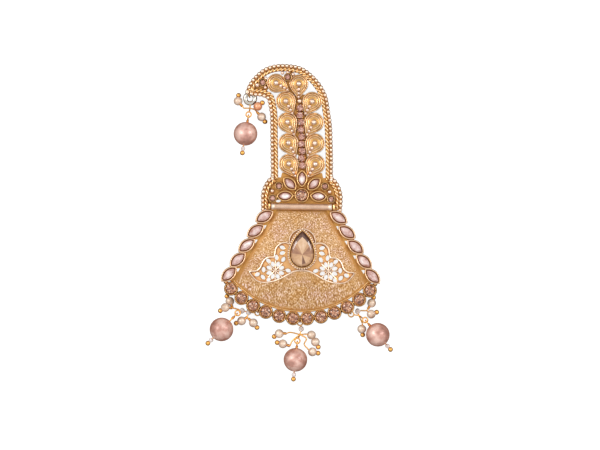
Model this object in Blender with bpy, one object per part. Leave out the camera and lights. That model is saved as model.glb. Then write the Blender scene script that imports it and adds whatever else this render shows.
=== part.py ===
"""A kalgi: a gold-plated turban ornament set with stones, lying on its back clip.

Metres, +Z up. The face looks up, the crest points to +Y. The origin is on the flat underside
of the back clip, below the crossbar, and Z = 0 is the surface that the kalgi lies on.
"""

import math

import bmesh
import bpy
from mathutils import Matrix, Vector

# Heights
METAL_BACK = 0.0040
PLATE_THICKNESS = 0.0011
SOLDER_SINK = 0.0002
BALL_SINK = 0.0004
FIT_GAP = 0.0003

# Rails round the plume and the dome: an outer row of balls and an inner twisted rope
BEAD_RAIL_WIDTH = 0.0015
ROPE_RAIL_WIDTH = 0.0017
RAIL_HEIGHT = 0.0020

# Plume, the tall hooked part
PLUME_FOOT_Y = 0.0115
PLUME_HEIGHT = 0.0479
PLUME_HALF_WIDTH = 0.0124
HOOK_OVERHANG = 0.0112
HOOK_BACKING_RADIUS = 0.0039
CREST_BACKING = (0.0118, 0.0058)

# Petals of the plume and the column of stones between them
PETALS_PER_SIDE = 4
PETAL_HEIGHT = 0.0026
PETAL_TAIL_ANGLE = math.radians(29)
PETAL_COLUMN = 0.70
PETAL_LEAD = 0.74
PETAL_OVERLAP = 0.17
PETAL_TAIL = 0.83
PETAL_WIDEST = 0.68
CREST_PETAL_RADIUS = 0.0040
SPINE_WIDTH = 0.0029
SPINE_BACKING = 0.0052
SPINE_TOP = 0.626
SPINE_GAP = (0.0019, 0.0010)
SPINE_GAP_PLACE = (-0.0021, 0.0210)
SPINE_LEAN = 0.00175
SPINE_STONES = 9
SPINE_STONE_HEIGHT = 0.0013
SPINE_BED = 0.0006

# Dome frame with the flower
DOME_HALF_WIDTH = 0.0165
DOME_SHOULDER_Y = 0.0035
DOME_FOOT_Y = -0.0012
DOME_SHOULDER_RADIUS = 0.0085
DOME_GAP = (0.0022, 0.0011)
DOME_GAP_PLACE = (-0.0098, 0.0023)
DOME_GAP_TURN = math.radians(6)
DOME_LEDGE = 0.0028
FLOWER_Y = 0.0048
FLOWER_REACH = 0.0070
FLOWER_STEP = math.radians(46.5)

# Crossbar between the dome and the fan
CROSSBAR_LENGTH = 0.0255
CROSSBAR_DIAMETER = 0.0028
CROSSBAR_CAP = 0.0012
CROSSBAR_RIBS = 9
CROSSBAR_GROOVE = 0.0001

# Fan plate, domed upwards
FAN_TOP_HALF_WIDTH = 0.0094
FAN_BOTTOM_HALF_WIDTH = 0.02815
FAN_DEPTH = 0.0439
FAN_RISE = 0.0026
RIM_RADIUS = 0.0380
RIM_WIRE_DIAMETER = 0.0009

# Stones: length and width, or diameter, and the pear in the middle
SIDE_NAVETTE = (0.0067, 0.0034)
FLOWER_NAVETTE = (0.0053, 0.0029)
ROUND_DIAMETER = 0.0044
FLOWER_ROUND_DIAMETER = 0.0046
CHATON_DIAMETER = 0.0023
PEAR_WIDTH = 0.0096
PEAR_LENGTH = 0.0146
PEAR_X = 0.0005
PEAR_Y = -0.0203
BEZEL_WALL = 0.0005
BEZEL_HEIGHT = 0.0024
STONE_HEIGHT = 0.0020

# Rows of stones along the fan's edges
SIDE_NAVETTES = 5
NAVETTE_PITCH = 0.0071
NAVETTE_CLEAR_OF_FAN = 0.0031
NAVETTE_FIRST_Y = -0.0043
NAVETTE_FIRST_TILT = math.radians(31)
NAVETTE_LAST_TILT = math.radians(45)
FLANGE_LEAD = 0.0054
FLANGE_TAIL = 0.0022
FLANGE_GAP = 0.0021
FLANGE_GAP_INWARD = 0.0022
FLANGE_GAPS_AFTER = {-1: (1, 2, 4), 1: (1, 2, 3, 4)}
ROUND_PITCH = 0.0059
ROUND_END = 0.0018
ROUND_CLEAR_OF_RIM = 0.0030
ROUND_BAND = 0.0022

# Pierced scalloped panel
PANEL_HALF_WIDTH = 0.0219
PANEL_TOP_Y = -0.0093
PANEL_BOTTOM_Y = -0.0319
PANEL_WIRE_DIAMETER = 0.0007
BURST_PIERCINGS = 8
BURST_RADIUS = 0.0028
PIERCING_LENGTH = 0.0024
PIERCING_WIDTH = 0.0016

# Drops
PEARL_DIAMETER = 0.0100
BEAD_DIAMETER = 0.0037
BEAD_REST = 0.53
BEAD_LAYER = 0.60
PIN_WIRE = 0.0006
END_BALL_DIAMETER = 0.0021
CLEAR_BEAD_DIAMETER = 0.0020
CRYSTAL_DIAMETER = 0.0026
LINK_WIRE = 0.0006
LINK_DIAMETER = 0.0028
HOOK_RING_WIRE = 0.0018
HOOK_RING_DIAMETER = 0.0041

# Back clip
CLIP_WIDTH = 0.0080
CLIP_THICKNESS = 0.0009
CLIP_TOP_Y = 0.0175
CLIP_SHORT_LEAF = 0.0240
CLIP_LONG_LEAF = 0.0420

# Outer rail from the right foot over the crest to the hook's tip, as shares. Across: 1 is the
# right rail, -1 the left rail and -2 the hook's tip. Up: share of the plume's height.
ARCH_ROUTE = (
    (0.99, 0.0), (0.985, 0.19), (0.96, 0.345), (0.93, 0.48), (0.855, 0.605),
    (0.76, 0.73), (0.55, 0.83), (0.27, 0.91), (-0.08, 0.972), (-0.51, 0.993),
    (-0.94, 0.99), (-1.36, 0.955), (-1.71, 0.883), (-1.91, 0.816), (-1.99, 0.766),
)
# Outer rail from under the hook's tip down the left side, in the same shares.
NECK_ROUTE = (
    (-1.99, 0.755), (-1.74, 0.741), (-1.47, 0.737), (-1.29, 0.722), (-1.18, 0.70),
    (-1.107, 0.628), (-1.06, 0.553), (-1.035, 0.344), (-1.01, 0.136), (-1.0, 0.0),
)
# Crest petals: across and up in the same shares, and the way the tail points.
CREST_PETALS = (
    (-0.153, 0.837, math.radians(-90)),
    (-0.92, 0.841, math.radians(-30)),
)
CREST_CHATON = (-0.532, 0.894)
HOOK_CHATON = (-1.42, 0.843)
HOOK_BACKING = (-1.54, 0.820)
CREST_BACKING_PLACE = (-0.41, 0.831)
# Side of a petal from its foot to its crown: inset as a share of its diameter, share of height.
PETAL_PROFILE = ((0.0, 0.0), (0.0, 0.6), (0.2, 1.0))
# Side of a spine stone: inset as a share of its diameter, share of its height.
SPINE_STONE_PROFILE = ((0.12, -0.04), (0.0, 0.4), (0.2, 1.0))
# Ledge above the dome, behind the lowest petals: half widths at its foot and top, as shares of the
# plume's half width.
DOME_LEDGE_WIDTHS = (0.75, 0.68)
# Dome chatons: shares of the dome's half width and of its shoulder's height.
DOME_CHATONS = ((0.585, 2.47), (0.745, 0.97))

# Right half of the pierced panel's outline from the top to the bottom: shares of its half width
# and of its depth.
PANEL_OUTLINE = (
    (0.0, 0.0), (0.115, 0.03), (0.205, 0.10), (0.25, 0.21), (0.245, 0.28),
    (0.32, 0.257), (0.42, 0.279), (0.50, 0.36), (0.52, 0.45), (0.54, 0.526),
    (0.64, 0.531), (0.72, 0.58), (0.765, 0.65), (0.80, 0.73), (0.875, 0.79),
    (1.0, 0.805), (0.955, 0.885), (0.87, 0.965), (0.76, 1.0), (0.625, 0.994),
    (0.48, 0.955), (0.33, 0.885), (0.16, 0.79), (0.0, 0.77),
)
BURST_CENTRE = (0.51, 0.775)
# Piercings outside the burst: across and down in the panel's shares, and the turn in degrees.
OUTER_PIERCINGS = (
    (0.38, 0.35, 20), (0.38, 0.45, -20), (0.49, 0.535, 80), (0.36, 0.57, 120),
    (0.645, 0.60, 40), (0.735, 0.765, 90), (0.265, 0.775, 20), (0.745, 0.905, 50),
    (0.635, 0.95, 120), (0.855, 0.855, 150),
)

# Each drop, in millimetres from its upper ring's centre, chosen by hand.
# lower_ring: where the pearl's pin hangs. pearl: its centre.
# chain: the wire from the upper to the lower ring, by its middle points x, y, z.
# branches: further runs of wire, x, y, z. crystals: clear beads on the chain.
# beads: centre x, y, layer (0 on the surface, 1 on another bead), knot x, y, z, and the place
# x, y that the end ball lies towards.
DROP_ROUTES = {
    "left": {
        "lower_ring": (-8.3, -0.1),
        "pearl": (-15.0, -7.1),
        "chain": ((-3.7, 0.2, 2.7), (-6.5, 0.8, 2.9)),
        "branches": (
            ((-6.5, 0.8, 2.9), (-9.0, 1.6, 2.9), (-10.5, 1.9, 3.0)),
            ((-3.7, 0.2, 2.7), (-4.4, -1.9, 2.6)),
        ),
        "crystals": ((-3.7, 0.2, 2.7), (-6.5, 0.8, 2.9)),
        "beads": (
            (-11.7, 4.7, 0, -10.5, 1.9, 3.0, -13.0, 6.8),
            (-13.6, 2.1, 1, -10.5, 1.9, 3.0, -16.1, 0.4),
            (-6.7, -3.5, 0, -4.4, -1.9, 2.6, -9.2, -4.6),
            (-1.7, -4.3, 0, -4.4, -1.9, 2.6, 0.1, -6.5),
        ),
    },
    "centre": {
        "lower_ring": (-1.0, -7.5),
        "pearl": (-1.7, -15.5),
        "chain": ((0.6, -2.6, 2.8), (0.0, -4.9, 3.2)),
        "branches": (
            ((0.0, -4.9, 3.2), (-3.8, -4.1, 2.8), (-5.6, -4.5, 2.6)),
            ((0.0, -4.9, 3.2), (-3.1, -7.6, 2.8), (-4.1, -9.8, 2.6)),
            ((0.0, -4.9, 3.2), (2.6, -4.7, 3.0)),
            ((0.0, -4.9, 3.2), (2.8, -6.6, 2.8), (1.9, -9.0, 2.6), (3.6, -11.1, 2.4)),
        ),
        "crystals": ((0.6, -2.6, 2.8),),
        "beads": (
            (-8.7, -4.7, 0, -5.6, -4.5, 2.6, -10.8, -6.0),
            (-7.1, -9.0, 0, -4.1, -9.8, 2.6, -9.9, -8.4),
            (4.9, -5.1, 0, 2.6, -4.7, 3.0, 6.6, -8.0),
            (6.6, -8.0, 0, 4.9, -5.1, 2.0, 8.0, -10.4),
            (5.4, -12.2, 0, 3.6, -11.1, 2.4, 8.1, -12.8),
        ),
    },
    "right": {
        "lower_ring": (5.9, -2.3),
        "pearl": (11.3, -8.4),
        "chain": ((3.4, -0.6, 3.2),),
        "branches": (
            ((3.4, -0.6, 3.2), (2.8, 1.3, 2.7), (6.6, 1.6, 3.0)),
            ((3.4, -0.6, 3.2), (4.9, -4.1, 2.8)),
        ),
        "crystals": ((2.8, 1.3, 2.7),),
        "beads": (
            (8.6, 4.8, 0, 6.6, 1.6, 3.0, 9.4, 7.3),
            (8.5, 0.1, 0, 6.6, 1.6, 3.0, 10.9, 1.0),
            (4.6, -6.2, 0, 4.9, -4.1, 2.8, 5.2, -9.5),
        ),
    },
    "hook": {
        "lower_ring": (-0.5, -6.8),
        "pearl": (-1.7, -14.9),
        "chain": ((0.0, -4.1, 3.6),),
        "branches": (
            ((0.0, -4.1, 3.6), (-2.6, -4.1, 3.0)),
            ((0.0, -4.1, 3.6), (1.9, -4.6, 3.4), (2.9, -5.6, 2.8)),
        ),
        "crystals": (),
        "beads": (
            (-5.1, -1.1, 0, -2.6, -4.1, 3.0, -4.9, 1.4),
            (3.3, -3.3, 1, 1.9, -4.6, 3.4, 5.0, -1.9),
            (4.9, -7.6, 0, 2.9, -5.6, 2.8, 6.4, -9.6),
        ),
    },
}
DROP_UNIT = 0.001

ROPE_INNER_EDGE = BEAD_RAIL_WIDTH / 2 + ROPE_RAIL_WIDTH
PLATE_TOP = METAL_BACK + PLATE_THICKNESS
LINK_Z = PEARL_DIAMETER / 2
RIM_CENTRE_Y = RIM_RADIUS - FAN_DEPTH


def clear_scene():
    for obj in list(bpy.data.objects):
        bpy.data.objects.remove(obj, do_unlink=True)


def material(name, colour, metallic, roughness):
    made = bpy.data.materials.new(name)
    made.use_nodes = True
    shader = made.node_tree.nodes["Principled BSDF"]
    shader.inputs["Base Color"].default_value = (*colour, 1.0)
    shader.inputs["Metallic"].default_value = metallic
    shader.inputs["Roughness"].default_value = roughness
    return made


def finish_mesh(name, bm, finish, helper=False):
    """Turns a bmesh into an object with its faces pointing out."""
    bmesh.ops.recalc_face_normals(bm, faces=bm.faces[:])
    mesh = bpy.data.meshes.new(name)
    bm.to_mesh(mesh)
    bm.free()
    mesh.materials.append(finish)
    mesh.shade_smooth()
    mesh.set_sharp_from_angle(angle=math.radians(35))
    obj = bpy.data.objects.new(name, mesh)
    if helper:
        obj.hide_render = True
        obj.display_type = "WIRE"
    else:
        bpy.context.scene.collection.objects.link(obj)
    return obj


def add_loft(bm, rings, closed=False):
    """Skins equal rings of points; capped at both ends, or joined end to end when closed."""
    rows = [[bm.verts.new(point) for point in ring] for ring in rings]
    pairs = list(zip(rows, rows[1:]))
    if closed:
        pairs.append((rows[-1], rows[0]))
    for low, high in pairs:
        for i in range(len(low)):
            j = (i + 1) % len(low)
            bm.faces.new((low[i], low[j], high[j], high[i]))
    if not closed:
        bm.faces.new(rows[0][::-1])
        bm.faces.new(rows[-1])


def loft(rings, closed=False):
    bm = bmesh.new()
    add_loft(bm, rings, closed)
    return bm


def ball(centre, diameter, segments, rings):
    bm = bmesh.new()
    bmesh.ops.create_uvsphere(
        bm, u_segments=segments, v_segments=rings, radius=diameter / 2,
        matrix=Matrix.Translation(centre),
    )
    return bm


def tube(points, diameter, sides, closed=False):
    """A round bar through points that all lie off the vertical direction."""
    rings = []
    for i, point in enumerate(points):
        before = points[i - 1] if i or closed else point
        after = points[(i + 1) % len(points)] if i + 1 < len(points) or closed else point
        along = (after - before).normalized()
        side = along.cross(Vector((0, 0, 1))).normalized()
        up = side.cross(along)
        turns = [math.tau * (k + 0.5) / sides for k in range(sides)]
        rings.append([point + diameter / 2 * (side * math.cos(t) + up * math.sin(t)) for t in turns])
    return loft(rings, closed)


def torus(centre, diameter, wire, normal, sides=10, wire_sides=5):
    """A ring of wire; diameter is measured to the middle of the wire."""
    first = normal.orthogonal().normalized()
    second = normal.cross(first).normalized()
    rings = []
    for i in range(sides):
        turn = math.tau * i / sides
        out = first * math.cos(turn) + second * math.sin(turn)
        turns = [math.tau * k / wire_sides for k in range(wire_sides)]
        middle = centre + out * diameter / 2
        rings.append([middle + wire / 2 * (out * math.cos(t) + normal * math.sin(t)) for t in turns])
    return loft(rings, closed=True)


def smooth(points, per_span):
    """A curve that passes through the points of an open route."""
    ends = [points[0] * 2 - points[1], *points, points[-1] * 2 - points[-2]]
    curve = []
    for a, b, c, d in zip(ends, ends[1:], ends[2:], ends[3:]):
        for step in range(per_span):
            t = step / per_span
            curve.append(0.5 * (
                2 * b + (c - a) * t + (2 * a - 5 * b + 4 * c - d) * t**2
                + (3 * b - a - 3 * c + d) * t**3
            ))
    curve.append(points[-1])
    return curve


def strip(path, section):
    """Sweeps a section of (offset to the right of the path, height) along a flat path."""
    rings = []
    for i, point in enumerate(path):
        along = (path[min(i + 1, len(path) - 1)] - path[max(i - 1, 0)]).normalized()
        right = Vector((along.y, -along.x))
        rings.append([(*(point + right * offset), height) for offset, height in section])
    return loft(rings)


def lens(size, grow=0.0, steps=4):
    """A marquise outline of two arcs; grow moves the arcs outwards."""
    half_length, half_width = size[0] / 2, size[1] / 2
    radius = (half_length**2 + half_width**2) / (2 * half_width)
    drop = radius - half_width
    tip = math.sqrt((radius + grow) ** 2 - drop**2)
    points = []
    for k in range(2 * steps):
        x = tip * math.cos(math.pi * k / steps)
        y = math.sqrt(max((radius + grow) ** 2 - x**2, 0)) - drop
        points.append(Vector((x, y if k <= steps else -y)))
    return points


def disc(diameter, grow=0.0, sides=10):
    radius = diameter / 2 + grow
    turns = [math.tau * k / sides for k in range(sides)]
    return [Vector((radius * math.cos(t), radius * math.sin(t))) for t in turns]


def teardrop(diameter, tail, grow=0.0, steps=8):
    """A round head about the origin and a pointed tail along +X; tail is measured from the origin."""
    lean = math.acos(diameter / 2 / tail)
    radius = diameter / 2 + grow
    points = [Vector((tail * radius / (diameter / 2), 0.0))]
    for k in range(steps + 1):
        turn = lean + (math.tau - 2 * lean) * k / steps
        points.append(Vector((radius * math.cos(turn), radius * math.sin(turn))))
    return points


def placed(outline, centre, turn=0.0):
    c, s = math.cos(turn), math.sin(turn)
    return [Vector((p.x * c - p.y * s, p.x * s + p.y * c)) + centre for p in outline]


def level(outline, height):
    return [(p.x, p.y, height) for p in outline]


def setting(shape, centre, turn, base):
    """A bezel: a cup with a wall round the stone, open at the top."""
    outer = placed(shape(FIT_GAP + BEZEL_WALL), centre, turn)
    inner = placed(shape(FIT_GAP), centre, turn)
    top = base + BEZEL_HEIGHT
    seat = top - STONE_HEIGHT / 2 - FIT_GAP
    return loft([level(outer, base), level(outer, top), level(inner, top), level(inner, seat)])


def stone(name, shape, centre, turn, base, table_inset, finish):
    """A cut stone with a flat back, a girdle, a ring of crown facets and a table."""
    back = base + BEZEL_HEIGHT - STONE_HEIGHT / 2
    rings = [
        level(placed(shape(-BEZEL_WALL / 2), centre, turn), back),
        level(placed(shape(0.0), centre, turn), back + STONE_HEIGHT / 2),
        level(placed(shape(-table_inset), centre, turn), back + STONE_HEIGHT),
    ]
    return finish_mesh(name, loft(rings), finish)


def fuse(name, shapes, finish):
    """Joins overlapping closed shapes into one solid: the first with a Boolean of the rest."""
    obj = finish_mesh(name, shapes[0], finish)
    others = bpy.data.collections.new(name + "_shapes")
    bpy.context.scene.collection.children.link(others)
    for i, shape in enumerate(shapes[1:]):
        if isinstance(shape, bmesh.types.BMesh):
            shape = finish_mesh(f"{name}_shape_{i}", shape, finish, helper=True)
        others.objects.link(shape)
    union = obj.modifiers.new("union", "BOOLEAN")
    union.operation = "UNION"
    union.operand_type = "COLLECTION"
    union.collection = others
    union.solver = "EXACT"
    return obj


def pierced(name, body, cutters, finish):
    """A helper solid with closed shapes cut out of it."""
    obj = finish_mesh(name, body, finish, helper=True)
    joined = bmesh.new()
    for cutter in cutters:
        add_loft(joined, cutter)
    cutter = finish_mesh(name + "_cutter", joined, finish, helper=True)
    bpy.context.scene.collection.objects.link(cutter)
    cut = obj.modifiers.new("cut", "BOOLEAN")
    cut.operation = "DIFFERENCE"
    cut.object = cutter
    cut.solver = "EXACT"
    return obj


def plume_point(across, up):
    """A place in the plume from its shares."""
    if across < -1:
        x = -PLUME_HALF_WIDTH + (across + 1) * HOOK_OVERHANG
    else:
        x = across * PLUME_HALF_WIDTH
    return Vector((x, PLUME_FOOT_Y + up * PLUME_HEIGHT))


def x_at(path, y):
    """Where a rail's path crosses a height; the last crossing counts."""
    found = path[0].x
    for a, b in zip(path, path[1:]):
        if min(a.y, b.y) <= y <= max(a.y, b.y) and a.y != b.y:
            found = a.x + (b.x - a.x) * (y - a.y) / (b.y - a.y)
    return found


def dome_path(side):
    """The dome's rail from its foot to the plume's foot: a short straight, then an ellipse."""
    centre_x = DOME_HALF_WIDTH - DOME_SHOULDER_RADIUS
    reach = DOME_HALF_WIDTH - centre_x
    end = math.acos((PLUME_HALF_WIDTH - centre_x) / reach)
    rise = (PLUME_FOOT_Y + BEAD_RAIL_WIDTH / 2 - DOME_SHOULDER_Y) / math.sin(end)
    points = [Vector((side * (DOME_HALF_WIDTH - SOLDER_SINK), DOME_FOOT_Y))]
    for k in range(7):
        turn = end * k / 6
        x = centre_x + reach * math.cos(turn)
        points.append(Vector((side * x, DOME_SHOULDER_Y + rise * math.sin(turn))))
    return points


def rail_section(base):
    """Two rounded ridges side by side: balls on the outside, rope on the inside."""
    bead, rope = BEAD_RAIL_WIDTH / 2, ROPE_RAIL_WIDTH / 2
    valley, top = base + 0.62 * RAIL_HEIGHT, base + RAIL_HEIGHT
    rope_x = -bead - rope
    return (
        (bead, base), (bead * 0.7, top), (-bead * 0.5, top), (-bead, valley),
        (rope_x + rope * 0.5, top), (rope_x - rope * 0.7, top), (rope_x - rope, base),
    )


def spine_x(y):
    share = (y - PLUME_FOOT_Y) / (PETAL_COLUMN * PLUME_HEIGHT)
    return -SPINE_LEAN * share * abs(share)


def fan_edge(share):
    """Half width of the fan at a share of the way from its top to its corners."""
    return FAN_TOP_HALF_WIDTH + (FAN_BOTTOM_HALF_WIDTH - FAN_TOP_HALF_WIDTH) * share


def rim_y(x):
    return RIM_CENTRE_Y - math.sqrt(RIM_RADIUS**2 - x**2)


def fan_rise(across, down):
    return FAN_RISE * (1 - across**2) * (1 - (2 * down - 1) ** 2)


def fan_point(across, down):
    """A place on the fan: across from -1 to 1, down from 0 at the top to 1 at the rim."""
    y = rim_y(across * FAN_BOTTOM_HALF_WIDTH) * down
    return Vector((across * fan_edge(down), y, fan_rise(across, down)))


def fan_height(point):
    """Height of the fan's upper face below a flat place, found by repeated correction."""
    across, down = 0.0, 0.5
    for _ in range(8):
        across = max(-1.0, min(1.0, point.x / fan_edge(down)))
        down = max(0.0, min(1.0, point.y / rim_y(across * FAN_BOTTOM_HALF_WIDTH)))
    return PLATE_TOP + fan_rise(across, down)


def fan_shell(columns=8, rows=5):
    """The domed plate: an upper and a lower face joined round the edge."""
    bm = bmesh.new()
    grids = []
    for thickness in (0.0, PLATE_THICKNESS):
        grid = []
        for j in range(rows + 1):
            across = [2 * i / columns - 1 for i in range(columns + 1)]
            points = [fan_point(a, j / rows) for a in across]
            grid.append([bm.verts.new(p + Vector((0, 0, METAL_BACK + thickness))) for p in points])
        grids.append(grid)
    for grid in grids:
        for j in range(rows):
            for i in range(columns):
                bm.faces.new((grid[j][i], grid[j][i + 1], grid[j + 1][i + 1], grid[j + 1][i]))
    rim = [(0, i) for i in range(columns)]
    rim += [(j, columns) for j in range(rows)]
    rim += [(rows, columns - i) for i in range(columns)]
    rim += [(rows - j, 0) for j in range(rows)]
    low, high = grids
    for (j0, i0), (j1, i1) in zip(rim, rim[1:] + rim[:1]):
        bm.faces.new((low[j0][i0], low[j1][i1], high[j1][i1], high[j0][i0]))
    return bm


def panel_point(across, down, side=1):
    y = PANEL_TOP_Y + down * (PANEL_BOTTOM_Y - PANEL_TOP_Y)
    return Vector((PEAR_X + side * across * PANEL_HALF_WIDTH, y))


def panel_loop():
    """The scalloped outline, right half down and left half back up."""
    right = [panel_point(a, d) for a, d in PANEL_OUTLINE]
    left = [panel_point(a, d, -1) for a, d in PANEL_OUTLINE[1:-1]]
    return right + left[::-1]


def piercings():
    """Pointed oval holes: a burst round each centre and a few more in the scallops."""
    low, high = METAL_BACK - PLATE_THICKNESS, PLATE_TOP + FAN_RISE + PLATE_THICKNESS
    cutters = []
    for side in (-1, 1):
        burst = panel_point(*BURST_CENTRE, side)
        places = []
        for k in range(BURST_PIERCINGS):
            turn = math.tau * (k + 0.5) / BURST_PIERCINGS
            out = Vector((math.cos(turn), math.sin(turn)))
            places.append((burst + out * BURST_RADIUS, turn))
        for across, down, degrees in OUTER_PIERCINGS:
            turn = math.radians(degrees if side > 0 else 180 - degrees)
            places.append((panel_point(across, down, side), turn))
        for centre, turn in places:
            hole = placed(lens((PIERCING_LENGTH, PIERCING_WIDTH), steps=2), centre, turn)
            cutters.append([level(hole, low), level(hole, high)])
    return cutters


def navette_places():
    """Centre and tilt of the side navettes, from the first at the top, for the right side."""
    run = Vector((FAN_BOTTOM_HALF_WIDTH - FAN_TOP_HALF_WIDTH, rim_y(FAN_BOTTOM_HALF_WIDTH)))
    along = run.normalized()
    out = Vector((-along.y, along.x))
    edge_y = NAVETTE_FIRST_Y - out.y * NAVETTE_CLEAR_OF_FAN
    edge = Vector((fan_edge(edge_y / run.y), edge_y))
    places = []
    for i in range(SIDE_NAVETTES):
        share = i / (SIDE_NAVETTES - 1)
        tilt = NAVETTE_FIRST_TILT + (NAVETTE_LAST_TILT - NAVETTE_FIRST_TILT) * share
        places.append((edge + out * NAVETTE_CLEAR_OF_FAN + along * NAVETTE_PITCH * i, -tilt))
    return places


def rim_place(turn, beyond):
    """A place beyond the rim, at an angle from straight down, positive to the right."""
    reach = RIM_RADIUS + beyond
    return Vector((reach * math.sin(turn), RIM_CENTRE_Y - reach * math.cos(turn)))


def round_row():
    """How many rounds fit between the fan's corners, and the angle from each to the next."""
    reach = RIM_RADIUS + ROUND_CLEAR_OF_RIM
    whole = 2 * (math.asin(FAN_BOTTOM_HALF_WIDTH / RIM_RADIUS) - ROUND_END / reach)
    steps = round(whole * reach / ROUND_PITCH)
    return steps + 1, whole / steps


def round_turn(number):
    """Angle of a rim round, counted from the left; halves lie between two rounds."""
    count, step = round_row()
    return (number - (count - 1) / 2) * step


def mirrored(place, turn, side):
    return Vector((side * place.x, place.y)), turn if side > 0 else math.pi - turn


def side_shape(grow=0.0):
    return lens(SIDE_NAVETTE, grow)


def flower_shape(grow=0.0):
    return lens(FLOWER_NAVETTE, grow)


def round_shape(grow=0.0):
    return disc(ROUND_DIAMETER, grow)


def flower_round_shape(grow=0.0):
    return disc(FLOWER_ROUND_DIAMETER, grow, 12)


def chaton_shape(grow=0.0):
    return disc(CHATON_DIAMETER, grow, 8)


def pear_shape(grow=0.0, steps=5):
    """A half circle about the origin, drawn out along +X by two arcs that meet in a point."""
    radius, tail = PEAR_WIDTH / 2, PEAR_LENGTH - PEAR_WIDTH / 2
    side_radius = (tail**2 + radius**2) / (2 * radius)
    drop = side_radius - radius
    tip = math.sqrt((side_radius + grow) ** 2 - drop**2)
    above = []
    for k in range(steps):
        x = tip * (1 - k / steps)
        above.append(Vector((x, math.sqrt((side_radius + grow) ** 2 - x**2) - drop)))
    turns = [math.pi / 2 + math.pi * k / (2 * steps) for k in range(2 * steps + 1)]
    head = [(radius + grow) * Vector((math.cos(t), math.sin(t))) for t in turns]
    below = [Vector((p.x, -p.y)) for p in above[:0:-1]]
    return above + head + below


def settings_table():
    """Every stone that has a node of its own: name, outline, centre, turn, base, table inset."""
    low = METAL_BACK + SOLDER_SINK
    table = []
    for side, word in ((-1, "left"), (1, "right")):
        for i, (place, tilt) in enumerate(navette_places()):
            centre, turn = mirrored(place, tilt, side)
            name = f"side_navette_{word}_{i + 1}"
            table.append((name, side_shape, centre, turn, low, SIDE_NAVETTE[1] / 4))
    flower = Vector((0.0, FLOWER_Y))
    base = low + PLATE_THICKNESS / 2
    for k in range(5):
        turn = math.pi / 2 + (k - 2) * FLOWER_STEP
        centre = flower + FLOWER_REACH * Vector((math.cos(turn), math.sin(turn)))
        inset = FLOWER_NAVETTE[1] / 4
        table.append((f"flower_navette_{k + 1}", flower_shape, centre, turn, base, inset))
    table.append(("flower_round", flower_round_shape, flower, 0.0, base, FLOWER_ROUND_DIAMETER / 5))
    for i in range(round_row()[0]):
        centre = rim_place(round_turn(i), ROUND_CLEAR_OF_RIM)
        table.append((f"rim_round_{i + 1}", round_shape, centre, 0.0, low, ROUND_DIAMETER / 5))
    inset = CHATON_DIAMETER / 5
    count = 0
    for side in (-1, 1):
        for across, up in DOME_CHATONS:
            count += 1
            centre = Vector((side * across * DOME_HALF_WIDTH, up * DOME_SHOULDER_Y))
            table.append((f"dome_chaton_{count}", chaton_shape, centre, 0.0, base, inset))
    table.append(("crest_chaton", chaton_shape, plume_point(*CREST_CHATON), 0.0, low, inset))
    table.append(("hook_chaton", chaton_shape, plume_point(*HOOK_CHATON), 0.0, low, inset))
    pear = Vector((PEAR_X, PEAR_Y))
    base = fan_height(pear) - PLATE_THICKNESS
    table.append(("pear_stone", pear_shape, pear, math.pi / 2, base, PEAR_WIDTH / 5))
    return table


def petal(centre, diameter, tail, turn, base):
    """A domed teardrop on a slightly wider leaf."""
    rings = []
    for inset, height in PETAL_PROFILE:
        outline = placed(teardrop(diameter, tail, -inset * diameter), centre, turn)
        rings.append(level(outline, base + height * PETAL_HEIGHT))
    return loft(rings)


def build_petals(arch, neck):
    """Two columns of petals between the spine and the rails, and the two at the crest."""
    base = METAL_BACK + SOLDER_SINK
    shapes = []
    pitch = PETAL_COLUMN * PLUME_HEIGHT / (PETALS_PER_SIDE - PETAL_OVERLAP)
    for side, path in ((1, arch), (-1, neck)):
        for i in range(PETALS_PER_SIDE):
            y = PLUME_FOOT_Y + pitch * (i + PETAL_LEAD)
            inner = spine_x(y) + side * SPINE_WIDTH / 2
            outer = x_at(path, y) - side * (ROPE_INNER_EDGE - BEAD_RAIL_WIDTH / 4)
            diameter = min(abs(outer - inner) + SOLDER_SINK, PETAL_WIDEST * PLUME_HALF_WIDTH)
            turn = -math.pi / 2 - side * PETAL_TAIL_ANGLE
            centre = Vector((inner + side * (diameter - SOLDER_SINK) / 2, y))
            shapes.append(petal(centre, diameter, PETAL_TAIL * diameter, turn, base))
    for across, up, turn in CREST_PETALS:
        diameter = 2 * CREST_PETAL_RADIUS
        shapes.append(petal(plume_point(across, up), diameter, PETAL_TAIL * diameter, turn, base))
    return shapes


def drop_anchors():
    """Centre of each drop's loop below the metal, and the way out of the metal there."""
    between = ROUND_CLEAR_OF_RIM + ROUND_BAND / 2 - LINK_WIRE / 2
    under = ROUND_CLEAR_OF_RIM + ROUND_DIAMETER / 2 + FIT_GAP + BEZEL_WALL - LINK_WIRE
    count = round_row()[0]
    turns = {
        "left": (round_turn(2.5), between),
        "centre": (round_turn((count - 1) // 2 + 0.5), between),
        "right": (round_turn(count - 3), under),
    }
    anchors = {}
    for name, (turn, beyond) in turns.items():
        anchors[name] = (rim_place(turn, beyond), Vector((math.sin(turn), -math.cos(turn))))
    tip = plume_point(*NECK_ROUTE[0])
    place = tip + Vector((LINK_WIRE, LINK_WIRE / 2 - BEAD_RAIL_WIDTH / 2))
    anchors["hook"] = (place, Vector((0.3, -1.0)).normalized())
    return anchors


def ring_sizes(name):
    """Diameter to the middle of the wire, and wire, of a drop's upper ring."""
    if name == "hook":
        return HOOK_RING_DIAMETER, HOOK_RING_WIRE
    return LINK_DIAMETER - LINK_WIRE, LINK_WIRE


def hang_height(ring_wire):
    """Height of an upper ring, which passes just under the metal."""
    return METAL_BACK - FIT_GAP - ring_wire / 2


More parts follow.
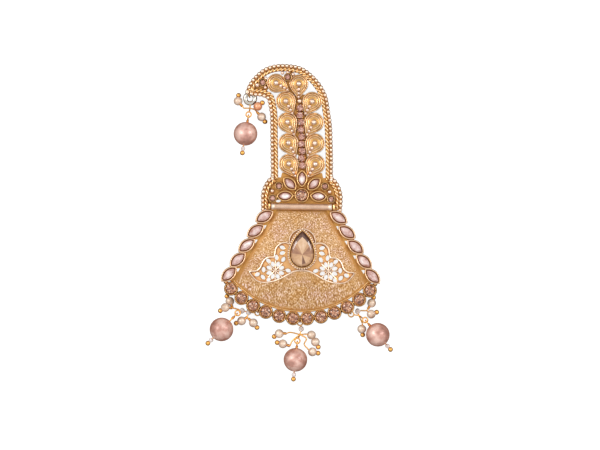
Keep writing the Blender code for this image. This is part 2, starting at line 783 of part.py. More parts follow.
def metal_loop(place, out, ring_wire):
    """The standing loop that a drop's upper ring passes through."""
    diameter = ring_wire + 2 * FIT_GAP + LINK_WIRE
    across = Vector((out.y, -out.x, 0))
    return torus(Vector((*place, hang_height(ring_wire))), diameter, LINK_WIRE, across)


def navette_flange(side, low, high, gold):
    """The strip under a row of side navettes, with small gaps between it and the fan."""
    places = [place for place, _ in navette_places()]
    along = (places[-1] - places[0]).normalized()
    inward = Vector((along.y, -along.x))
    first, last = places[0] - along * FLANGE_LEAD, places[-1] + along * FLANGE_TAIL
    corners = []
    for place, offset in (
        (first, -SIDE_NAVETTE[1] / 3), (first, NAVETTE_CLEAR_OF_FAN + 2 * BEZEL_WALL),
        (last, NAVETTE_CLEAR_OF_FAN + 2 * BEZEL_WALL), (last, -SIDE_NAVETTE[1] / 3),
    ):
        corners.append(mirrored(place + inward * offset, 0.0, side)[0])
    outward_turn = math.atan2(-inward.y, -inward.x)
    gaps = []
    for number in FLANGE_GAPS_AFTER[side]:
        middle = (places[number - 1] + places[number]) / 2 + inward * FLANGE_GAP_INWARD
        centre, turn = mirrored(middle, outward_turn, side)
        gap = placed(disc(FLANGE_GAP, sides=3), centre, turn)
        gaps.append([level(gap, low - PLATE_THICKNESS), level(gap, high + PLATE_THICKNESS)])
    return pierced(f"flange_{side}", loft([level(corners, low), level(corners, high)]), gaps, gold)


def small_gap(size, place, turn):
    """A cutter for a pointed gap right through a backing."""
    gap = placed(lens(size, steps=3), Vector(place), turn)
    return [level(gap, METAL_BACK - PLATE_THICKNESS), level(gap, PLATE_TOP + PLATE_THICKNESS)]


def build_backings(dome, base, gold):
    """The plain plates behind the dome, the lowest petals, the hook, the crest and the spine."""
    body = loft([level(dome, METAL_BACK), level(dome, PLATE_TOP - SOLDER_SINK / 2)])
    dome_gap = small_gap(DOME_GAP, DOME_GAP_PLACE, DOME_GAP_TURN)
    shapes = [pierced("dome_backing", body, [dome_gap], gold)]

    foot, top = (share * PLUME_HALF_WIDTH for share in DOME_LEDGE_WIDTHS)
    low_y, high_y = PLUME_FOOT_Y - PLATE_THICKNESS, PLUME_FOOT_Y + DOME_LEDGE
    ledge = [Vector(p) for p in ((-foot, low_y), (foot, low_y), (top, high_y), (-top, high_y))]
    hook = placed(disc(2 * HOOK_BACKING_RADIUS), plume_point(*HOOK_BACKING))
    crest = placed(lens(CREST_BACKING), plume_point(*CREST_BACKING_PLACE), math.pi / 2)
    for outline in (ledge, hook, crest):
        shapes.append(loft([level(outline, base), level(outline, PLATE_TOP - SOLDER_SINK)]))

    heights = [PLUME_FOOT_Y + share * PLUME_HEIGHT for share in (0.02, 0.2, 0.35, 0.5, 0.62, 0.74)]
    spine = [Vector((spine_x(y), y)) for y in heights]
    half = SPINE_BACKING / 2
    flat = ((half, base), (half, PLATE_TOP), (-half, PLATE_TOP), (-half, base))
    spine_gap = small_gap(SPINE_GAP, SPINE_GAP_PLACE, math.pi / 2)
    shapes.append(pierced("spine_backing", strip(spine, flat), [spine_gap], gold))
    return shapes


def build_gold_frame(table, gold):
    base = METAL_BACK + SOLDER_SINK
    arch = smooth([plume_point(*share) for share in ARCH_ROUTE], 2)
    neck = [plume_point(*share) for share in NECK_ROUTE]
    section = rail_section(METAL_BACK + SOLDER_SINK / 2)
    dome_right, dome_left = dome_path(1), dome_path(-1)[::-1]
    shapes = [strip(arch, section), strip(neck, section)]
    shapes += [strip(dome_right, section), strip(dome_left, section)]
    shapes += build_petals(arch, neck)

    shapes += build_backings(dome_right + dome_left, base, gold)

    shapes.append(pierced("fan_plate", fan_shell(), piercings(), gold))
    half_turn = math.asin(FAN_BOTTOM_HALF_WIDTH / RIM_RADIUS)
    rim = [rim_place(half_turn * (k / 7 - 1), 0.0) for k in range(15)]
    shapes.append(tube([Vector((*p, PLATE_TOP)) for p in rim], RIM_WIRE_DIAMETER, 5))
    panel = [Vector((*p, fan_height(p))) for p in panel_loop()]
    shapes.append(tube(panel, PANEL_WIRE_DIAMETER, 4, closed=True))

    flange_top = METAL_BACK + PLATE_THICKNESS * 0.8
    for side in (-1, 1):
        shapes.append(navette_flange(side, base, flange_top, gold))
    shapes += [setting(shape, centre, turn, low) for _, shape, centre, turn, low, _ in table]
    band = [rim_place(round_turn(k / 2), ROUND_CLEAR_OF_RIM) for k in range(2 * round_row()[0] - 1)]
    band_section = [(s * ROUND_BAND / 2, z) for s, z in (
        (1, base), (1, flange_top), (-1, flange_top), (-1, base),
    )]
    shapes.append(strip(band, band_section))

    cap = CROSSBAR_LENGTH / 2 + FIT_GAP
    cap_half = CROSSBAR_DIAMETER / 2
    for side in (-1, 1):
        corners = [Vector((side * x, y)) for x, y in (
            (cap, -cap_half), (cap + CROSSBAR_CAP, -cap_half),
            (cap + CROSSBAR_CAP, cap_half), (cap, cap_half),
        )]
        top = PLATE_TOP + FIT_GAP + CROSSBAR_DIAMETER * 0.8
        shapes.append(loft([level(corners, base), level(corners, top)]))

    for name, (place, out) in drop_anchors().items():
        shapes.append(metal_loop(place, out, ring_sizes(name)[1]))
    return fuse("gold_frame", shapes, gold)


def build_crossbar(pale):
    """The ribbed rod: a row of shallow rings between two plain ends."""
    rings = []
    height = PLATE_TOP + FIT_GAP + CROSSBAR_DIAMETER / 2
    for i in range(2 * CROSSBAR_RIBS + 1):
        x = CROSSBAR_LENGTH * (i / (2 * CROSSBAR_RIBS) - 0.5)
        radius = CROSSBAR_DIAMETER / 2 - (0.0 if i % 2 else CROSSBAR_GROOVE)
        turns = [math.tau * (k + 0.5) / 8 for k in range(8)]
        rings.append([(x, radius * math.cos(t), height + radius * math.sin(t)) for t in turns])
    return finish_mesh("crossbar", loft(rings), pale)


def build_spine_stones(rose):
    """Small rhinestones in a column, joined by the strip that they are glued to."""
    low = PLATE_TOP + FIT_GAP
    size = SPINE_WIDTH * 0.9
    top_y = PLUME_FOOT_Y + SPINE_TOP * PLUME_HEIGHT
    foot_y = FLOWER_Y + FLOWER_REACH + FLOWER_NAVETTE[0] / 2 + SPINE_WIDTH
    heights = [foot_y + (top_y - foot_y) * i / (SPINE_STONES - 1) for i in range(SPINE_STONES)]
    path = [Vector((spine_x(y), y)) for y in heights]
    half = size / 4
    section = [(s * half, low + z) for s, z in ((1, 0), (1, SPINE_BED), (-1, SPINE_BED), (-1, 0))]
    shapes = [strip(path[::2], section)]
    for i, place in enumerate(path):
        rings = []
        for inset, share in SPINE_STONE_PROFILE:
            outline = placed(disc(size, -inset * size, 8), place, 0.2 * i)
            rings.append(level(outline, low + share * SPINE_STONE_HEIGHT))
        shapes.append(loft(rings))
    return fuse("spine_stones", shapes, rose)


def build_cluster(name, upper, lower, route, gold):
    """One drop's small beads on headpins, its crystals and its two rings, as one solid."""
    def at(x, y, z):
        return Vector((upper.x + x * DROP_UNIT, upper.y + y * DROP_UNIT, z * DROP_UNIT))

    up = Vector((0, 0, 1))
    diameter, wire = ring_sizes(name)
    lower_diameter = LINK_DIAMETER - LINK_WIRE
    chain = [at(*point) for point in route["chain"]]
    first = (chain[0] - upper).normalized() * diameter / 2
    last = (chain[-1] - lower).normalized() * lower_diameter / 2
    first.z = last.z = 0
    shapes = [torus(upper, diameter, wire, up), torus(lower, lower_diameter, LINK_WIRE, up)]
    shapes.append(tube([upper + first, *chain, lower + last], PIN_WIRE, 5))
    shapes += [tube([at(*point) for point in branch], PIN_WIRE, 5) for branch in route["branches"]]
    shapes += [ball(at(*place), CRYSTAL_DIAMETER, 8, 4) for place in route["crystals"]]
    for x, y, layer, knot_x, knot_y, knot_z, end_x, end_y in route["beads"]:
        height = BEAD_DIAMETER * (BEAD_REST + BEAD_LAYER * layer)
        bead = at(x, y, height / DROP_UNIT)
        way = at(end_x, end_y, (height - END_BALL_DIAMETER / 4) / DROP_UNIT) - bead
        end = bead + way.normalized() * ((BEAD_DIAMETER + END_BALL_DIAMETER) / 2 - BALL_SINK)
        shapes.append(tube([at(knot_x, knot_y, knot_z), bead], PIN_WIRE, 5))
        shapes.append(ball(bead, BEAD_DIAMETER, 10, 4))
        shapes.append(ball(end, END_BALL_DIAMETER, 7, 4))
    return fuse(f"{name}_cluster", shapes, gold)


def build_drop(name, anchor, finishes):
    """Cluster, pin and pearl of one drop, hung from its loop on the metal."""
    place, out = anchor
    diameter, wire = ring_sizes(name)
    route = DROP_ROUTES[name]
    flat = place + out * diameter / 2
    upper = Vector((*flat, hang_height(wire)))
    lower = Vector((*(flat + Vector(route["lower_ring"]) * DROP_UNIT), LINK_Z))
    pearl = Vector((*(flat + Vector(route["pearl"]) * DROP_UNIT), LINK_Z))
    build_cluster(name, upper, lower, route, finishes["gold"])
    along = (pearl - lower).normalized()
    eye_diameter = LINK_WIRE + 2 * FIT_GAP + PIN_WIRE
    eye = lower + along * (LINK_DIAMETER - LINK_WIRE) / 2
    clear = pearl + along * (PEARL_DIAMETER / 2 + CLEAR_BEAD_DIAMETER / 2 + FIT_GAP)
    end = clear + along * (CLEAR_BEAD_DIAMETER + END_BALL_DIAMETER) * 0.45
    across = along.cross(Vector((0, 0, 1)))
    fuse(f"{name}_pin", [
        torus(eye, eye_diameter, PIN_WIRE, across),
        tube([eye + along * eye_diameter / 2, end], PIN_WIRE, 5),
        ball(clear, CLEAR_BEAD_DIAMETER, 7, 4),
        ball(end, END_BALL_DIAMETER, 7, 4),
    ], finishes["gold"])
    build_pearl(f"{name}_pearl", pearl, along, finishes["pearl"])


def build_pearl(name, centre, along, finish):
    """A drilled ball: its profile turned round the pin's axis."""
    bore = PIN_WIRE / 2 + FIT_GAP
    radius = PEARL_DIAMETER / 2
    start = math.asin(bore / radius)
    side = along.cross(Vector((0, 0, 1)))
    up = side.cross(along)
    profile = []
    for k in range(8):
        turn = start + (math.pi - 2 * start) * k / 7
        profile.append((radius * math.cos(turn), radius * math.sin(turn)))
    rings = []
    for place, reach in profile:
        turns = [math.tau * k / 12 for k in range(12)]
        middle = centre + along * place
        rings.append([middle + reach * (side * math.cos(t) + up * math.sin(t)) for t in turns])
    return finish_mesh(name, loft(rings, closed=True), finish)


def build_clip(steel):
    """A flat strip folded back on itself: the short leaf under the metal, the long one below."""
    top = METAL_BACK - FIT_GAP
    middle, radius = top / 2, top / 2
    inner = radius - CLIP_THICKNESS
    bend_y = CLIP_TOP_Y - radius
    short_end, long_end = CLIP_TOP_Y - CLIP_SHORT_LEAF, CLIP_TOP_Y - CLIP_LONG_LEAF
    profile = [(short_end, top - CLIP_THICKNESS), (short_end, top)]
    steps = 8
    for k in range(steps + 1):
        turn = math.pi / 2 - math.pi * k / steps
        profile.append((bend_y + radius * math.cos(turn), middle + radius * math.sin(turn)))
    profile += [(long_end, 0.0), (long_end, CLIP_THICKNESS)]
    for k in range(steps + 1):
        turn = -math.pi / 2 + math.pi * k / steps
        profile.append((bend_y + inner * math.cos(turn), middle + inner * math.sin(turn)))
    rings = [[(x, y, z) for y, z in profile] for x in (-CLIP_WIDTH / 2, CLIP_WIDTH / 2)]
    return finish_mesh("back_clip", loft(rings), steel)


def main():
    clear_scene()
    finishes = {
        "gold": material("antique_gold", (0.80, 0.50, 0.22), 1.0, 0.32),
        "pale": material("pale_bar", (0.78, 0.66, 0.55), 0.4, 0.4),
        "opal": material("opal_pink", (0.80, 0.68, 0.66), 0.0, 0.12),
        "champagne": material("champagne", (0.55, 0.33, 0.20), 0.0, 0.08),
        "rose": material("rose_stone", (0.55, 0.30, 0.28), 0.0, 0.1),
        "pearl": material("pink_pearl", (0.75, 0.50, 0.45), 0.0, 0.2),
        "steel": material("clip_metal", (0.72, 0.52, 0.30), 1.0, 0.35),
    }
    table = settings_table()
    build_gold_frame(table, finishes["gold"])
    for name, shape, centre, turn, low, inset in table:
        if "navette" in name:
            finish = finishes["opal"]
        elif "chaton" in name:
            finish = finishes["rose"]
        else:
            finish = finishes["champagne"]
        stone(name, shape, centre, turn, low, inset, finish)
    build_crossbar(finishes["pale"])
    build_spine_stones(finishes["rose"])
    for name, anchor in drop_anchors().items():
        build_drop(name, anchor, finishes)
    build_clip(finishes["steel"])


main()
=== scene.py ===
"""Looks of a kalgi, a gold-plated turban ornament with stones and pearl drops, lying on a white floor.

Metres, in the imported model's frame: the face looks up, the crest points to +Y, Z = 0 is the floor.
"""

import math

import bpy
import numpy as np
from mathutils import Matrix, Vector
from mathutils.geometry import delaunay_2d_cdt


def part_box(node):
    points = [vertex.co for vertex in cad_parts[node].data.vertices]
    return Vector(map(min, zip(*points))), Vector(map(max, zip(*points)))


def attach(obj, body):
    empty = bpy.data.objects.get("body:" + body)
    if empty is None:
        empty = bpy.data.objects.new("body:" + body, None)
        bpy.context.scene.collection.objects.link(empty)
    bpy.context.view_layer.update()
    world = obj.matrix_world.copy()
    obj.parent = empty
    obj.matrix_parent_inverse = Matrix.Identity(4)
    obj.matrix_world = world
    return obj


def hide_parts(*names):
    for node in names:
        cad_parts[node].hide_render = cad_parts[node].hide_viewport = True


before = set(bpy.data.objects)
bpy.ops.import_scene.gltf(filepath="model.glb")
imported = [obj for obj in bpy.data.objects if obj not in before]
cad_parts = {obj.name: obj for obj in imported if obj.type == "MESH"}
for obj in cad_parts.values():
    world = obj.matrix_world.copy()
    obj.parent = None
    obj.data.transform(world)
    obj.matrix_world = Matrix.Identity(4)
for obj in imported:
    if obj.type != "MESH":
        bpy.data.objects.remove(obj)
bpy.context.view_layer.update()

MM = 0.001

# Photograph: the real width that it shows, where its middle lies and how far it is turned
PHOTO_SPAN = 0.252
PHOTO_MIDDLE = (-0.00057, -0.00765)
PHOTO_ROLL = math.radians(0.8)
CAMERA_HEIGHT = 1.2
SENSOR = 36.0

# Sizes shared with the solids
METAL_BACK = 0.0040
PLATE_THICKNESS = 0.0011
SOLDER_SINK = 0.0002
BALL_SINK = 0.0004
FIT_GAP = 0.0003
BEAD_RAIL_WIDTH = 0.0015
ROPE_RAIL_WIDTH = 0.0017
RAIL_HEIGHT = 0.0020
PLUME_FOOT_Y = 0.0115
PLUME_HEIGHT = 0.0479
PLUME_HALF_WIDTH = 0.0124
HOOK_OVERHANG = 0.0112
HOOK_BACKING_RADIUS = 0.0039
CREST_BACKING = (0.0118, 0.0058)
PETALS_PER_SIDE = 4
PETAL_HEIGHT = 0.0026
PETAL_TAIL_ANGLE = math.radians(29)
PETAL_COLUMN = 0.70
PETAL_LEAD = 0.74
PETAL_OVERLAP = 0.17
PETAL_TAIL = 0.83
PETAL_WIDEST = 0.68
CREST_PETAL_RADIUS = 0.0040
SPINE_WIDTH = 0.0029
SPINE_LEAN = 0.00175
SPINE_STONES = 9
SPINE_BACKING = 0.0052
SPINE_TOP = 0.626
SPINE_GAP = (0.0019, 0.0010)
SPINE_GAP_PLACE = (-0.0021, 0.0210)
DOME_HALF_WIDTH = 0.0165
DOME_SHOULDER_Y = 0.0035
DOME_FOOT_Y = -0.0012
DOME_SHOULDER_RADIUS = 0.0085
DOME_GAP = (0.0022, 0.0011)
DOME_GAP_PLACE = (-0.0098, 0.0023)
DOME_GAP_TURN = math.radians(6)
DOME_LEDGE = 0.0028
FLOWER_Y = 0.0048
FLOWER_REACH = 0.0070
FLOWER_STEP = math.radians(46.5)
CROSSBAR_LENGTH = 0.0255
CROSSBAR_DIAMETER = 0.0028
CROSSBAR_CAP = 0.0012
FAN_TOP_HALF_WIDTH = 0.0094
FAN_BOTTOM_HALF_WIDTH = 0.02815
FAN_DEPTH = 0.0439
FAN_RISE = 0.0026
RIM_RADIUS = 0.0380
RIM_WIRE_DIAMETER = 0.0009
SIDE_NAVETTE = (0.0067, 0.0034)
FLOWER_NAVETTE = (0.0053, 0.0029)
ROUND_DIAMETER = 0.0044
FLOWER_ROUND_DIAMETER = 0.0046
CHATON_DIAMETER = 0.0023
PEAR_WIDTH = 0.0096
PEAR_LENGTH = 0.0146
PEAR_X = 0.0005
PEAR_Y = -0.0203
BEZEL_WALL = 0.0005
BEZEL_HEIGHT = 0.0024
STONE_HEIGHT = 0.0020
SIDE_NAVETTES = 5
NAVETTE_PITCH = 0.0071
NAVETTE_CLEAR_OF_FAN = 0.0031
NAVETTE_FIRST_Y = -0.0043
NAVETTE_FIRST_TILT = math.radians(31)
NAVETTE_LAST_TILT = math.radians(45)
FLANGE_LEAD = 0.0054
FLANGE_TAIL = 0.0022
FLANGE_GAP = 0.0021
FLANGE_GAP_INWARD = 0.0022
FLANGE_GAPS_AFTER = {-1: (1, 2, 4), 1: (1, 2, 3, 4)}
ROUND_PITCH = 0.0059
ROUND_END = 0.0018
ROUND_CLEAR_OF_RIM = 0.0030
ROUND_BAND = 0.0022
PANEL_HALF_WIDTH = 0.0219
PANEL_TOP_Y = -0.0093
PANEL_BOTTOM_Y = -0.0319
PANEL_WIRE_DIAMETER = 0.0007
BURST_PIERCINGS = 8
BURST_RADIUS = 0.0028
PIERCING_LENGTH = 0.0024
PIERCING_WIDTH = 0.0016
PEARL_DIAMETER = 0.0100
BEAD_DIAMETER = 0.0037
BEAD_REST = 0.53
BEAD_LAYER = 0.60
PIN_WIRE = 0.0006
END_BALL_DIAMETER = 0.0021
CLEAR_BEAD_DIAMETER = 0.0020
CRYSTAL_DIAMETER = 0.0026
LINK_WIRE = 0.0006
LINK_DIAMETER = 0.0028
HOOK_RING_WIRE = 0.0018
HOOK_RING_DIAMETER = 0.0041

# Sizes of the fine work
RAIL_BALL_DIAMETER = 0.00165
RAIL_BALL_PITCH = 0.00178
ROPE_STRANDS = 3
ROPE_LAY = 0.0050
STIPPLE_PITCH = 0.00029
STIPPLE_HEIGHT = 0.00002
BAND_WIDTH = 0.0005
BAND_FADE = 0.0010
PANEL_RECESS = 0.0004
BURST_WIRE = 0.00052
BURST_WIRE_REACH = 0.0042
LIP_WIRE = 0.00032
GRANULE_DIAMETER = 0.00104
CROSSBAR_RIB_PITCH = 0.00040
CROSSBAR_COLLAR = 0.0014
SEAT_DEPTH = 0.0009
NAVETTE_WALL = BEZEL_WALL * 1.2
FLOWER_ROUND_WALL = BEZEL_WALL * 0.9
PEAR_WALL = BEZEL_WALL * 0.8
CHATON_WALL = BEZEL_WALL * 0.6
ROUND_WALL = BEZEL_WALL * 0.55
NAVETTE_CUT = STONE_HEIGHT * 0.86
ROUND_CUT = STONE_HEIGHT * 0.9
PEAR_CUT = STONE_HEIGHT * 0.95
SPINE_CUT = 0.00135
BRILLIANT_TABLE = 0.55
PEAR_FACET = 0.0021
ROUND_TWIST = 0.37
CHATON_TWIST = 0.3
SPINE_TWIST = 0.5
CLAW_DIAMETER = 0.0006
CLAW_CLEAR = 0.0001
DOME_BALL_DIAMETER = 0.0018
SPINE_BALL_DIAMETER = 0.0020
BAND_BALL_DIAMETER = 0.0019
BAND_BALL_TURN = 0.086
BURST_BALL_DIAMETER = 0.0011
KNOT_WIRE = 0.00042
KNOT_TURNS = 3
KNOT_STEPS = 14
DROP_WIRE = PIN_WIRE * 0.95

# Rails: steps along them, and the bed under both as shares of their outer and inner reach
RAIL_STEP = 0.0004
ROPE_STEP = 0.0002
ROPE_SIDES = 24
CHANNEL_REACH = (0.75, 0.94)

# Petals, as shares: wall of the height, crown of the head's radius, how far the balls stand out
PETAL_WALL = 0.52
PETAL_CROWN = 0.75
PETAL_BALL_RISE = 0.25

# Pear: shares of the way from its culet to its girdle at the facets' edge and at the table
PEAR_EDGE = 0.90
PEAR_TABLE = 0.78

# Stippled ground: places, as shares, that it keeps to; jitter and share kept under the panel
STIPPLE_ACROSS = 0.992
STIPPLE_DOWN = (0.006, 0.993)
STIPPLE_JITTER = 0.3
COARSE_SHARE = 0.35
HOLE_CLEAR = PIERCING_LENGTH * 0.56
BAND_TOP = 0.0012
BAND_SLANT = 0.86
STREAK_DEPTH = 0.006

# Edges sharper than this, in degrees, stay sharp: every edge of a cut stone
FACET_ANGLE = 1

FLOOR_HALF = 2.0
CROSSBAR_SIDES = 24
PEARL_SIDES = 48
PEARL_LEVELS = 32

# The solids' tables, as shares. Outer rail from the right foot over the crest to the hook's tip:
# across 1 is the right rail, -1 the left rail and -2 the tip; up is a share of the plume's height.
ARCH_ROUTE = (
    (0.99, 0.0), (0.985, 0.19), (0.96, 0.345), (0.93, 0.48), (0.855, 0.605),
    (0.76, 0.73), (0.55, 0.83), (0.27, 0.91), (-0.08, 0.972), (-0.51, 0.993),
    (-0.94, 0.99), (-1.36, 0.955), (-1.71, 0.883), (-1.91, 0.816), (-1.99, 0.766),
)
NECK_ROUTE = (
    (-1.99, 0.755), (-1.74, 0.741), (-1.47, 0.737), (-1.29, 0.722), (-1.18, 0.70),
    (-1.107, 0.628), (-1.06, 0.553), (-1.035, 0.344), (-1.01, 0.136), (-1.0, 0.0),
)
CREST_PETALS = (
    (-0.153, 0.837, math.radians(-90)),
    (-0.92, 0.841, math.radians(-30)),
)
HOOK_BACKING = (-1.54, 0.820)
CREST_BACKING_PLACE = (-0.41, 0.831)
# Ledge above the dome: half widths at its foot and top, as shares of the plume's half width.
DOME_LEDGE_WIDTHS = (0.75, 0.68)
# Small balls of the crest and the hook in the same shares, with their diameters.
CREST_BALLS = (
    (-0.71, 0.931, 0.0015), (-0.355, 0.921, 0.0015), (-0.55, 0.936, 0.0013),
    (-1.30, 0.881, 0.0014), (-1.32, 0.802, 0.0014), (-1.62, 0.821, 0.0019),
)
DOME_BALLS = ((-0.0124, 0.0065), (0.0116, 0.0064))
# Balls down a petal: distance from the head's centre as a share of the tail, and diameter.
PETAL_BALLS = ((0.0, 0.0024), (0.345, 0.0016), (0.60, 0.0014), (0.82, 0.0012))
# Wire ridges of a petal: insets from its edge as shares of the head's radius.
PETAL_RIDGES = (0.05, 0.24, 0.44)
PETAL_RIDGE_HALF = 0.055
# Section of one ridge: place in half widths from its middle, rise as a share of the petal's, face tone,
# which paints a highlight on the ridge and shade in the groove inside it.
RIDGE_SECTION = (
    (-0.9, 0.0, 0.8), (-0.6, 0.05, 1.0), (0.0, 0.08, 1.0), (0.6, 0.05, 0.8), (1.0, -0.01, 0.22),
    (1.5, -0.01, 0.46),
)
# Smooth middle of a petal: inset as a share of the head's radius, and face tone, painted lighter towards
# the middle as a highlight.
PETAL_MIDDLE = ((0.60, 0.50), (0.72, 0.56), (0.84, 0.62), (0.96, 0.62))
# One rib of the crossbar: place as a share of the pitch, reach as a share of the radius, face tone, which
# paints shade in the groove and light on the rib.
RIB_SECTION = ((0.10, 0.91, 0.0), (0.35, 0.98, 0.5), (0.65, 0.98, 1.0), (0.90, 0.91, 0.5))
# Blunt double cone of a crystal: place along its axis and reach, as shares of its radius.
CRYSTAL_SECTION = ((-0.85, 0.35), (-0.4, 0.86), (0.0, 1.0), (0.4, 0.86), (0.85, 0.35))
# Heights of the spine's bed as shares of the plume's.
SPINE_BED = (0.02, 0.2, 0.35, 0.5, 0.62, 0.74)
# The pear's facets with their reflections painted on, as its foil throws them: angle in degrees, tone of
# the inner and of the outer ones.
PEAR_TONES = (
    (-172, 0.62, 0.55), (-140, 0.74, 0.62), (-112, 0.80, 0.70), (-90, 0.20, 0.50), (-68, 0.78, 0.66),
    (-40, 0.72, 0.50), (-8, 0.56, 0.62), (30, 0.42, 0.34), (58, 0.62, 0.10), (76, 0.84, 0.02),
    (104, 0.84, 0.10), (125, 0.66, 0.24), (150, 0.46, 0.36), (188, 0.62, 0.55),
)
PANEL_OUTLINE = (
    (0.0, 0.0), (0.115, 0.03), (0.205, 0.10), (0.25, 0.21), (0.245, 0.28),
    (0.32, 0.257), (0.42, 0.279), (0.50, 0.36), (0.52, 0.45), (0.54, 0.526),
    (0.64, 0.531), (0.72, 0.58), (0.765, 0.65), (0.80, 0.73), (0.875, 0.79),
    (1.0, 0.805), (0.955, 0.885), (0.87, 0.965), (0.76, 1.0), (0.625, 0.994),
    (0.48, 0.955), (0.33, 0.885), (0.16, 0.79), (0.0, 0.77),
)
BURST_CENTRE = (0.51, 0.775)
OUTER_PIERCINGS = (
    (0.38, 0.35, 20), (0.38, 0.45, -20), (0.49, 0.535, 80), (0.36, 0.57, 120),
    (0.645, 0.60, 40), (0.735, 0.765, 90), (0.265, 0.775, 20), (0.745, 0.905, 50),
    (0.635, 0.95, 120), (0.855, 0.855, 150),
)

# The drops' routes, as the solids have them: millimetres from each upper ring's centre.
# beads: centre x, y, layer, knot x, y, z, and the place x, y that the end ball lies towards.
DROP_ROUTES = {
    "left": {
        "lower_ring": (-8.3, -0.1),
        "pearl": (-15.0, -7.1),
        "chain": ((-3.7, 0.2, 2.7), (-6.5, 0.8, 2.9)),
        "branches": (
            ((-6.5, 0.8, 2.9), (-9.0, 1.6, 2.9), (-10.5, 1.9, 3.0)),
            ((-3.7, 0.2, 2.7), (-4.4, -1.9, 2.6)),
        ),
        "crystals": ((-3.7, 0.2, 2.7), (-6.5, 0.8, 2.9)),
        "beads": (
            (-11.7, 4.7, 0, -10.5, 1.9, 3.0, -13.0, 6.8),
            (-13.6, 2.1, 1, -10.5, 1.9, 3.0, -16.1, 0.4),
            (-6.7, -3.5, 0, -4.4, -1.9, 2.6, -9.2, -4.6),
            (-1.7, -4.3, 0, -4.4, -1.9, 2.6, 0.1, -6.5),
        ),
    },
    "centre": {
        "lower_ring": (-1.0, -7.5),
        "pearl": (-1.7, -15.5),
        "chain": ((0.6, -2.6, 2.8), (0.0, -4.9, 3.2)),
        "branches": (
            ((0.0, -4.9, 3.2), (-3.8, -4.1, 2.8), (-5.6, -4.5, 2.6)),
            ((0.0, -4.9, 3.2), (-3.1, -7.6, 2.8), (-4.1, -9.8, 2.6)),
            ((0.0, -4.9, 3.2), (2.6, -4.7, 3.0)),
            ((0.0, -4.9, 3.2), (2.8, -6.6, 2.8), (1.9, -9.0, 2.6), (3.6, -11.1, 2.4)),
        ),
        "crystals": ((0.6, -2.6, 2.8),),
        "beads": (
            (-8.7, -4.7, 0, -5.6, -4.5, 2.6, -10.8, -6.0),
            (-7.1, -9.0, 0, -4.1, -9.8, 2.6, -9.9, -8.4),
            (4.9, -5.1, 0, 2.6, -4.7, 3.0, 6.6, -8.0),
            (6.6, -8.0, 0, 4.9, -5.1, 2.0, 8.0, -10.4),
            (5.4, -12.2, 0, 3.6, -11.1, 2.4, 8.1, -12.8),
        ),
    },
    "right": {
        "lower_ring": (5.9, -2.3),
        "pearl": (11.3, -8.4),
        "chain": ((3.4, -0.6, 3.2),),
        "branches": (
            ((3.4, -0.6, 3.2), (2.8, 1.3, 2.7), (6.6, 1.6, 3.0)),
            ((3.4, -0.6, 3.2), (4.9, -4.1, 2.8)),
        ),
        "crystals": ((2.8, 1.3, 2.7),),
        "beads": (
            (8.6, 4.8, 0, 6.6, 1.6, 3.0, 9.4, 7.3),
            (8.5, 0.1, 0, 6.6, 1.6, 3.0, 10.9, 1.0),
            (4.6, -6.2, 0, 4.9, -4.1, 2.8, 5.2, -9.5),
        ),
    },
    "hook": {
        "lower_ring": (-0.5, -6.8),
        "pearl": (-1.7, -14.9),
        "chain": ((0.0, -4.1, 3.6),),
        "branches": (
            ((0.0, -4.1, 3.6), (-2.6, -4.1, 3.0)),
            ((0.0, -4.1, 3.6), (1.9, -4.6, 3.4), (2.9, -5.6, 2.8)),
        ),
        "crystals": (),
        "beads": (
            (-5.1, -1.1, 0, -2.6, -4.1, 3.0, -4.9, 1.4),
            (3.3, -3.3, 1, 1.9, -4.6, 3.4, 5.0, -1.9),
            (4.9, -7.6, 0, 2.9, -5.6, 2.8, 6.4, -9.6),
        ),
    },
}

ROPE_INNER_EDGE = BEAD_RAIL_WIDTH / 2 + ROPE_RAIL_WIDTH
PLATE_TOP = METAL_BACK + PLATE_THICKNESS
LOW = METAL_BACK + SOLDER_SINK
LINK_Z = PEARL_DIAMETER / 2
RIM_CENTRE_Y = RIM_RADIUS - FAN_DEPTH
UP = Vector((0, 0, 1))
WHITE = (1, 1, 1, 1)


# Colours and materials

def srgb(red, green, blue):
    """A colour as a picture's 0 to 255 values, made linear."""
    shares = [c / 255 for c in (red, green, blue)]
    linear = [s / 12.92 if s <= 0.04045 else ((s + 0.055) / 1.055) ** 2.4 for s in shares]
    return (*linear, 1.0)


def new_material(name):
    made = bpy.data.materials.new(name)
    made.use_nodes = True
    return made, made.node_tree, made.node_tree.nodes["Principled BSDF"]


def add_node(tree, kind, settings=(), links=()):
    """A node with its properties or socket values set and its inputs linked."""
    node = tree.nodes.new(kind)
    for key, value in settings:
        if isinstance(key, str) and hasattr(node, key):
            setattr(node, key, value)
        else:
            node.inputs[key].default_value = value
    for key, socket in links:
        tree.links.new(socket, node.inputs[key])
    return node


def set_inputs(shader, values):
    for key, value in values:
        shader.inputs[key].default_value = value


def darker(colour, share):
    return (*(share * part for part in colour[:3]), 1)


def attribute(tree, key):
    return add_node(tree, "ShaderNodeAttribute", [("attribute_name", key)]).outputs["Fac"]


def map_range(tree, value, limits):
    return add_node(tree, "ShaderNodeMapRange", limits, [("Value", value)]).outputs["Result"]


def ramp(tree, factor, stops):
    """A colour ramp from (place, colour) pairs."""
    node = add_node(tree, "ShaderNodeValToRGB", links=[("Fac", factor)])
    elements = node.color_ramp.elements
    while len(elements) < len(stops):
        elements.new(0.5)
    for element, (place, colour) in zip(elements, stops):
        element.position = place
        element.color = colour
    return node.outputs["Color"]


def noise_of(tree, scale, detail, stretch=(1, 1, 1)):
    place = add_node(tree, "ShaderNodeTexCoord").outputs["Object"]
    mapped = add_node(tree, "ShaderNodeMapping", [("Scale", stretch)], [("Vector", place)])
    return add_node(
        tree, "ShaderNodeTexNoise", [("Scale", scale), ("Detail", detail)],
        [("Vector", mapped.outputs["Vector"])],
    ).outputs["Fac"]


